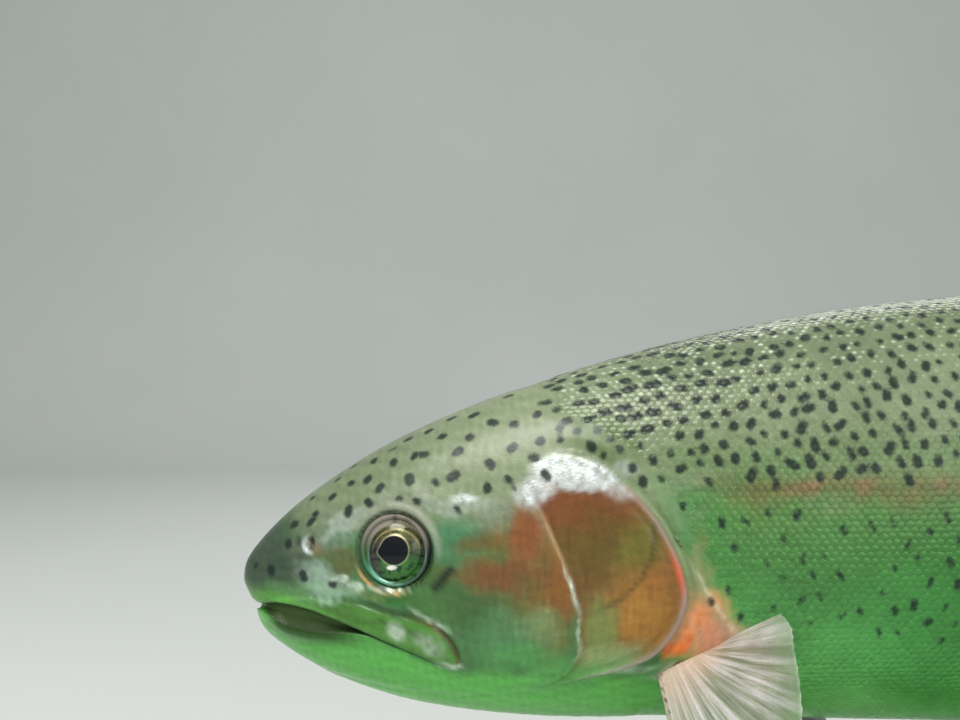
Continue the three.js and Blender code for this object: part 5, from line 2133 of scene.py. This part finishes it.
@dataclass(frozen=True)
class Eyes:
    """Two wet eyes: shallow domes in their sockets."""

    rings: int = 84
    around: int = 144
    rim: float = 8.9  # where the orbit's flesh meets the skin
    cornea: float = 6.8
    root: float = 5.5
    pupil_radius: float = 3.3
    pupil_point: float = 0.6
    pupil_centre: tuple[float, float] = (0.55, 0.0)
    iris_centre: tuple[float, float] = (0.9, -1.0)

    def build(self) -> list[Piece]:
        """Builds both eyes."""
        material = EyeFinish().material()
        return [self.one(side, material) for side in Side]

    def profile(self) -> Pair:
        """Radii and heights from the apex: a flat dome, a crease, a bead and the root."""
        radius = self.rim * np.linspace(0, 1, self.rings)
        dome = np.clip(1 - (radius / self.cornea) ** 2, 0, 1) ** 0.7
        bead = bell(radius - 7.7, 0.6) - bell(radius - 6.9, 0.22)
        slope = smooth(radius, 7.9, self.rim)
        height = 1.0 + (EYE.bulge - 1.0) * dome + 0.3 * bead - 0.9 * slope
        radius = np.concatenate([radius, np.array([0.9, 0.5, 0.0]) * EYE.radius])
        return radius, np.concatenate([height, -self.root * np.array([0.5, 0.9, 1.0])])

    def tones(self, east: Array, north: Array) -> Pair:
        """The eye's colours and how mirror-like they are.

        The pupil is round with a point to the front. The iris ends at a pale ring whose
        middle lies below and behind the pupil's, and the orbit's flesh lies round it.

        Args:
            east: Distances towards the tail.
            north: Distances upwards.

        Returns:
            Linear colours and shares of metal.
        """
        px, pz = east - self.pupil_centre[0], north - self.pupil_centre[1]
        point = np.exp(-(self.apart(np.arctan2(pz, px), 188) / 0.3) ** 2)
        pupil = np.hypot(px, pz) - self.pupil_radius - self.pupil_point * point
        rx, rz = east - self.iris_centre[0], north - self.iris_centre[1]
        ring = np.hypot(rx, rz)
        turn = np.arctan2(rz, rx)
        up, right = smooth(np.sin(turn), -0.1, 0.8), smooth(np.cos(turn), 0.1, 0.8)
        down, left = smooth(-np.sin(turn), -0.1, 0.7), smooth(-np.cos(turn), 0.5, 0.95)
        low_left = bell(self.apart(turn, 235), 0.75)
        grain = waves(east, north, 1.8, 91) + 0.7 * waves(turn * 8, ring * 0.5, 2.4, 93)
        outer = smooth(ring, 6.75, 7.1)
        pale = paint(linear(104, 142, 112), (
            ((120, 120, 132), right), ((104, 94, 58), up), ((150, 196, 178), low_left)))
        # bright: where the gold ring round the pupil carries a painted highlight, strongest over
        # the pupil's top
        bright = 0.22 + 0.78 * bell(np.arctan2(pz, px) - 1.35, 0.6)
        # fleck: a painted highlight, the reflection below the pupil
        fleck = np.exp(-((px + 0.6 - 0.3 * (pz + 3.9)) / 1.35) ** 2 - ((pz + 3.95) / 0.62) ** 2)
        tone = paint(linear(46, 74, 44), (
            ((60, 116, 52), down * 0.9),
            ((88, 84, 54), up * 0.8),
            ((62, 54, 58), left * smooth(ring, 3.6, 5.0) * 0.85),
            ((20, 30, 22), smooth(grain, 0.2, 1.3) * 0.75),
            ((150, 136, 84), bell(ring - 5.75, 0.2) * up * (0.7 + 0.2 * grain)),
            ((26, 34, 28), bell(ring - 6.35, 0.25) * 0.6),
            ((50, 86, 46), outer),
            ((58, 118, 84), outer * down * 0.9),
            # a painted highlight along the ring's lower left
            ((124, 176, 160), outer * low_left * bell(ring - 7.2, 0.3) * 0.8),
            ((44, 52, 56), outer * right * (1 - down) * 0.9),
            ((134, 124, 116), outer * up * 0.85),
            ((66, 60, 62), outer * up * bell(east - 0.2, 0.75) * 0.8),
            ((84, 80, 58), outer * up * bell(east - 3.0, 1.6) * 0.7),
            (pale, bell(ring - 6.8, 0.18) * (0.85 - 0.25 * up)),
            # painted shade at the eye's edge, where it sinks into the crease of its socket
            ((20, 26, 22), smooth(np.hypot(east, north), 8.3, 8.65) * 0.95),
            # the gold ring round the pupil, with its painted highlight at the top
            ((230, 222, 180), bell(pupil - 0.2, 0.15 + 0.12 * bright) * bright),
            # the painted highlight below the pupil
            ((240, 240, 232), smooth(fleck, 0.25, 0.7)),
            ((4, 8, 16), fall(pupil, -0.1, 0.06)),
        ))
        return tone, smooth(pupil, 0.0, 0.3) * (1 - outer) * 0.4

    @staticmethod
    def apart(turn: Array, degrees: float) -> Array:
        """How far angles lie from a given one, between half a turn back and forth."""
        return np.angle(np.exp(1j * (turn - radians(degrees))))

    def one(self, side: Side, material: Material) -> Piece:
        """Builds one eye: the profile carried round, with a smaller root behind.

        Args:
            side: Which side.
            material: The eye's finish.

        Returns:
            The eye.
        """
        radius, height = self.profile()
        round_it = np.linspace(0, tau, self.around, endpoint=False)
        east = radius[:, None] * np.cos(round_it)
        north = radius[:, None] * np.sin(round_it)
        up = np.broadcast_to(height[:, None], east.shape)
        local = np.stack([east, north, up], -1)
        lean, yaw = EYE.up, EYE.forward
        out = np.array([-sin(yaw), cos(yaw) * cos(lean), sin(lean)])
        out[1] *= side.value
        out = unit(out)
        tail_way = unit(np.array([1.0, 0, 0]) - out[0] * out)
        top_way = np.cross(out, tail_way) * (1 if side is Side.LEFT else -1)
        centre = np.array([EYE.x, side.value * EYE.out, EYE.z])
        basis = np.stack([tail_way, top_way, out])
        points = local @ basis + centre
        tone, metal = self.tones(east, north)
        metal[self.rings:] = 0.0
        values = {"tone": tone.reshape(-1, 3), "silver": metal.ravel()}
        sheet = Sheet(points, wrap=True)
        name = f"eye_{side.name.lower()}"
        piece = make_mesh(name, points, sheet.faces(), values, sheet.unwrap(), weld=1e-6)
        return hand_in(piece, material, [name])


# ---- stand


@dataclass(frozen=True)
class Stand:
    """The flat base and the two rods that carry the trout."""

    # radius and height above the foot, then radius and height above the belly
    flange: Sequence[tuple[float, float]] = (
        (0, 0), (9.2, 0), (9.5, 0.3), (9.5, 2), (9.2, 2.65), (8.5, 3), (4.8, 3.1), (4, 3.9))
    cup: Sequence[tuple[float, float]] = (
        (4, -8.5), (4.5, -7.6), (6.9, -3.6), (7.5, -2.8), (7.5, 3), (7, 3.3), (4, 3), (0, 3))
    clearance: float = 0.4  # between a cup and the belly
    around: int = 64

    def build(self) -> list[Piece]:
        """Finishes the base and builds both rods."""
        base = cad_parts["stand_base"]
        base.data.materials.clear()
        base.data.materials.append(WoodFinish().material())
        steel = SteelFinish().material()
        return [self.rod(name, steel) for name in ("stand_rod_front", "stand_rod_rear")]

    def rod(self, name: str, material: Material) -> Piece:
        """Builds a rod: a profile carried round, whose cup is cut to the belly.

        Args:
            name: The rod's solid.
            material: The rod's finish.

        Returns:
            The rod.
        """
        low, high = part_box(name)
        local = (np.array([(low.x + high.x) / 2, (low.y + high.y) / 2, low.z]) - SNOUT) / MM
        top = FORM.belly_height(FORM.s_at(local[0]))
        profile = [*np.add(self.flange, (0, local[2])), *np.add(self.cup, (0, top))]
        radius, height = np.array(profile).T
        turn = np.linspace(0, tau, self.around, endpoint=False)
        x = local[0] + radius[:, None] * np.cos(turn)
        y = radius[:, None] * np.sin(turn)
        z = np.broadcast_to(height[:, None], x.shape).copy()
        s = FORM.s_at(x)
        width = FORM.width / 2 * along(FORM.half, s)
        widest = FORM.depth * along(FORM.widest, s)
        power = along(FORM.low_power, s)
        drop = (1 - np.clip(np.abs(y) / width, 0, 1) ** power) ** (1 / power)
        under = widest - (widest - FORM.belly_height(s)) * drop - self.clearance
        z = np.minimum(z, under)
        points = np.stack([x, y + FORM.sweep(x[:1, :1]), z], -1)
        sheet = Sheet(points, wrap=True)
        piece = make_mesh(name, points, sheet.faces(), {}, sheet.unwrap(), weld=1e-6)
        return hand_in(piece, material, [name])


# ---- studio


@dataclass(frozen=True)
class Studio:
    """A pale curved backdrop, soft lights and the camera."""

    camera_back: float = 59.0  # behind the snout's tip
    camera_up: float = 53.3
    camera_out: float = 250.0
    focal_pixels: float = 995.0
    frame_pixels: float = 960.0
    sensor: float = 36.0

    def backdrop(self) -> None:
        """A floor that curves up into a wall: a quarter circle between two planes."""
        turn = np.linspace(0, pi / 2, 24)
        bend, depth = 0.5, 1.3
        y = np.concatenate([[-3.0, 0.0], depth + bend * np.sin(turn), [depth + bend]])
        z = np.concatenate([[0.0, 0.0], bend * (1 - np.cos(turn)), [3.2]])
        x = np.array([-4.0, 4.0])
        grid = np.stack(np.broadcast_arrays(x[:, None], y, z), -1)
        sheet = Sheet(grid)
        piece = make_mesh("backdrop", (grid - SNOUT) / MM, sheet.faces()[:, ::-1], {})
        piece.data.materials.append(PaperFinish().material())

    def light(self, name: str, place: Triple, aim: Triple, size: tuple[float, float], power: float,
              colour: Triple = (1.0, 1.0, 1.0)) -> None:
        """Adds a soft rectangular light that faces a point.

        Args:
            name: The light's name.
            place: Where it stands.
            aim: What it faces.
            size: Its width and height in metres.
            power: Its power in watts.
            colour: Its colour.
        """
        lamp = bpy.data.lights.new(name, "AREA")
        lamp.shape = "RECTANGLE"
        lamp.size, lamp.size_y = size
        lamp.energy = power
        lamp.color = colour
        stand = bpy.data.objects.new(name, lamp)
        stand.location = place
        stand.rotation_euler = (Vector(aim) - Vector(place)).to_track_quat("-Z", "Y").to_euler()
        bpy.context.scene.collection.objects.link(stand)

    def build(self) -> None:
        """Sets up the backdrop, the lights, the world and the camera."""
        self.backdrop()
        middle = (0.0, 0.0, 0.13)
        self.light("key", (-0.45, -0.6, 1.2), (-0.1, 0, 0.13), (0.7, 0.5), 17.0, (1.0, 0.99, 0.96))
        self.light("fill", (0.75, -1.3, 0.5), middle, (1.0, 0.9), 8.0, (0.96, 0.98, 1.0))
        self.light("rim", (0.4, 0.9, 1.0), middle, (0.8, 0.5), 4.0)
        world = bpy.data.worlds.new("studio")
        bpy.context.scene.world = world
        world.use_nodes = True
        colour, strength = world.node_tree.nodes["Background"].inputs[:2]
        colour.default_value, strength.default_value = (0.8, 0.84, 0.82, 1.0), 0.55
        bpy.context.scene.view_settings.view_transform = "Standard"
        camera = bpy.data.cameras.new("camera")
        camera.sensor_width = self.sensor
        camera.lens = self.sensor * self.focal_pixels / self.frame_pixels
        camera.clip_start = 0.01
        holder = bpy.data.objects.new("camera", camera)
        offset = np.array([self.camera_back, -self.camera_out, self.camera_up])
        holder.location = Vector(SNOUT + offset * MM)
        holder.rotation_euler = (pi / 2, 0.0, 0.0)
        bpy.context.scene.collection.objects.link(holder)
        bpy.context.scene.camera = holder


# ---- all together


def main() -> None:
    """Builds the trout, its stand and the studio."""
    logging.basicConfig(level=logging.INFO, format="%(message)s", stream=sys.stdout)
    Skin().build()
    Scales().build()
    Fins().build()
    Eyes().build()
    Stand().build()
    Studio().build()


if __name__ == "__main__":
    main()
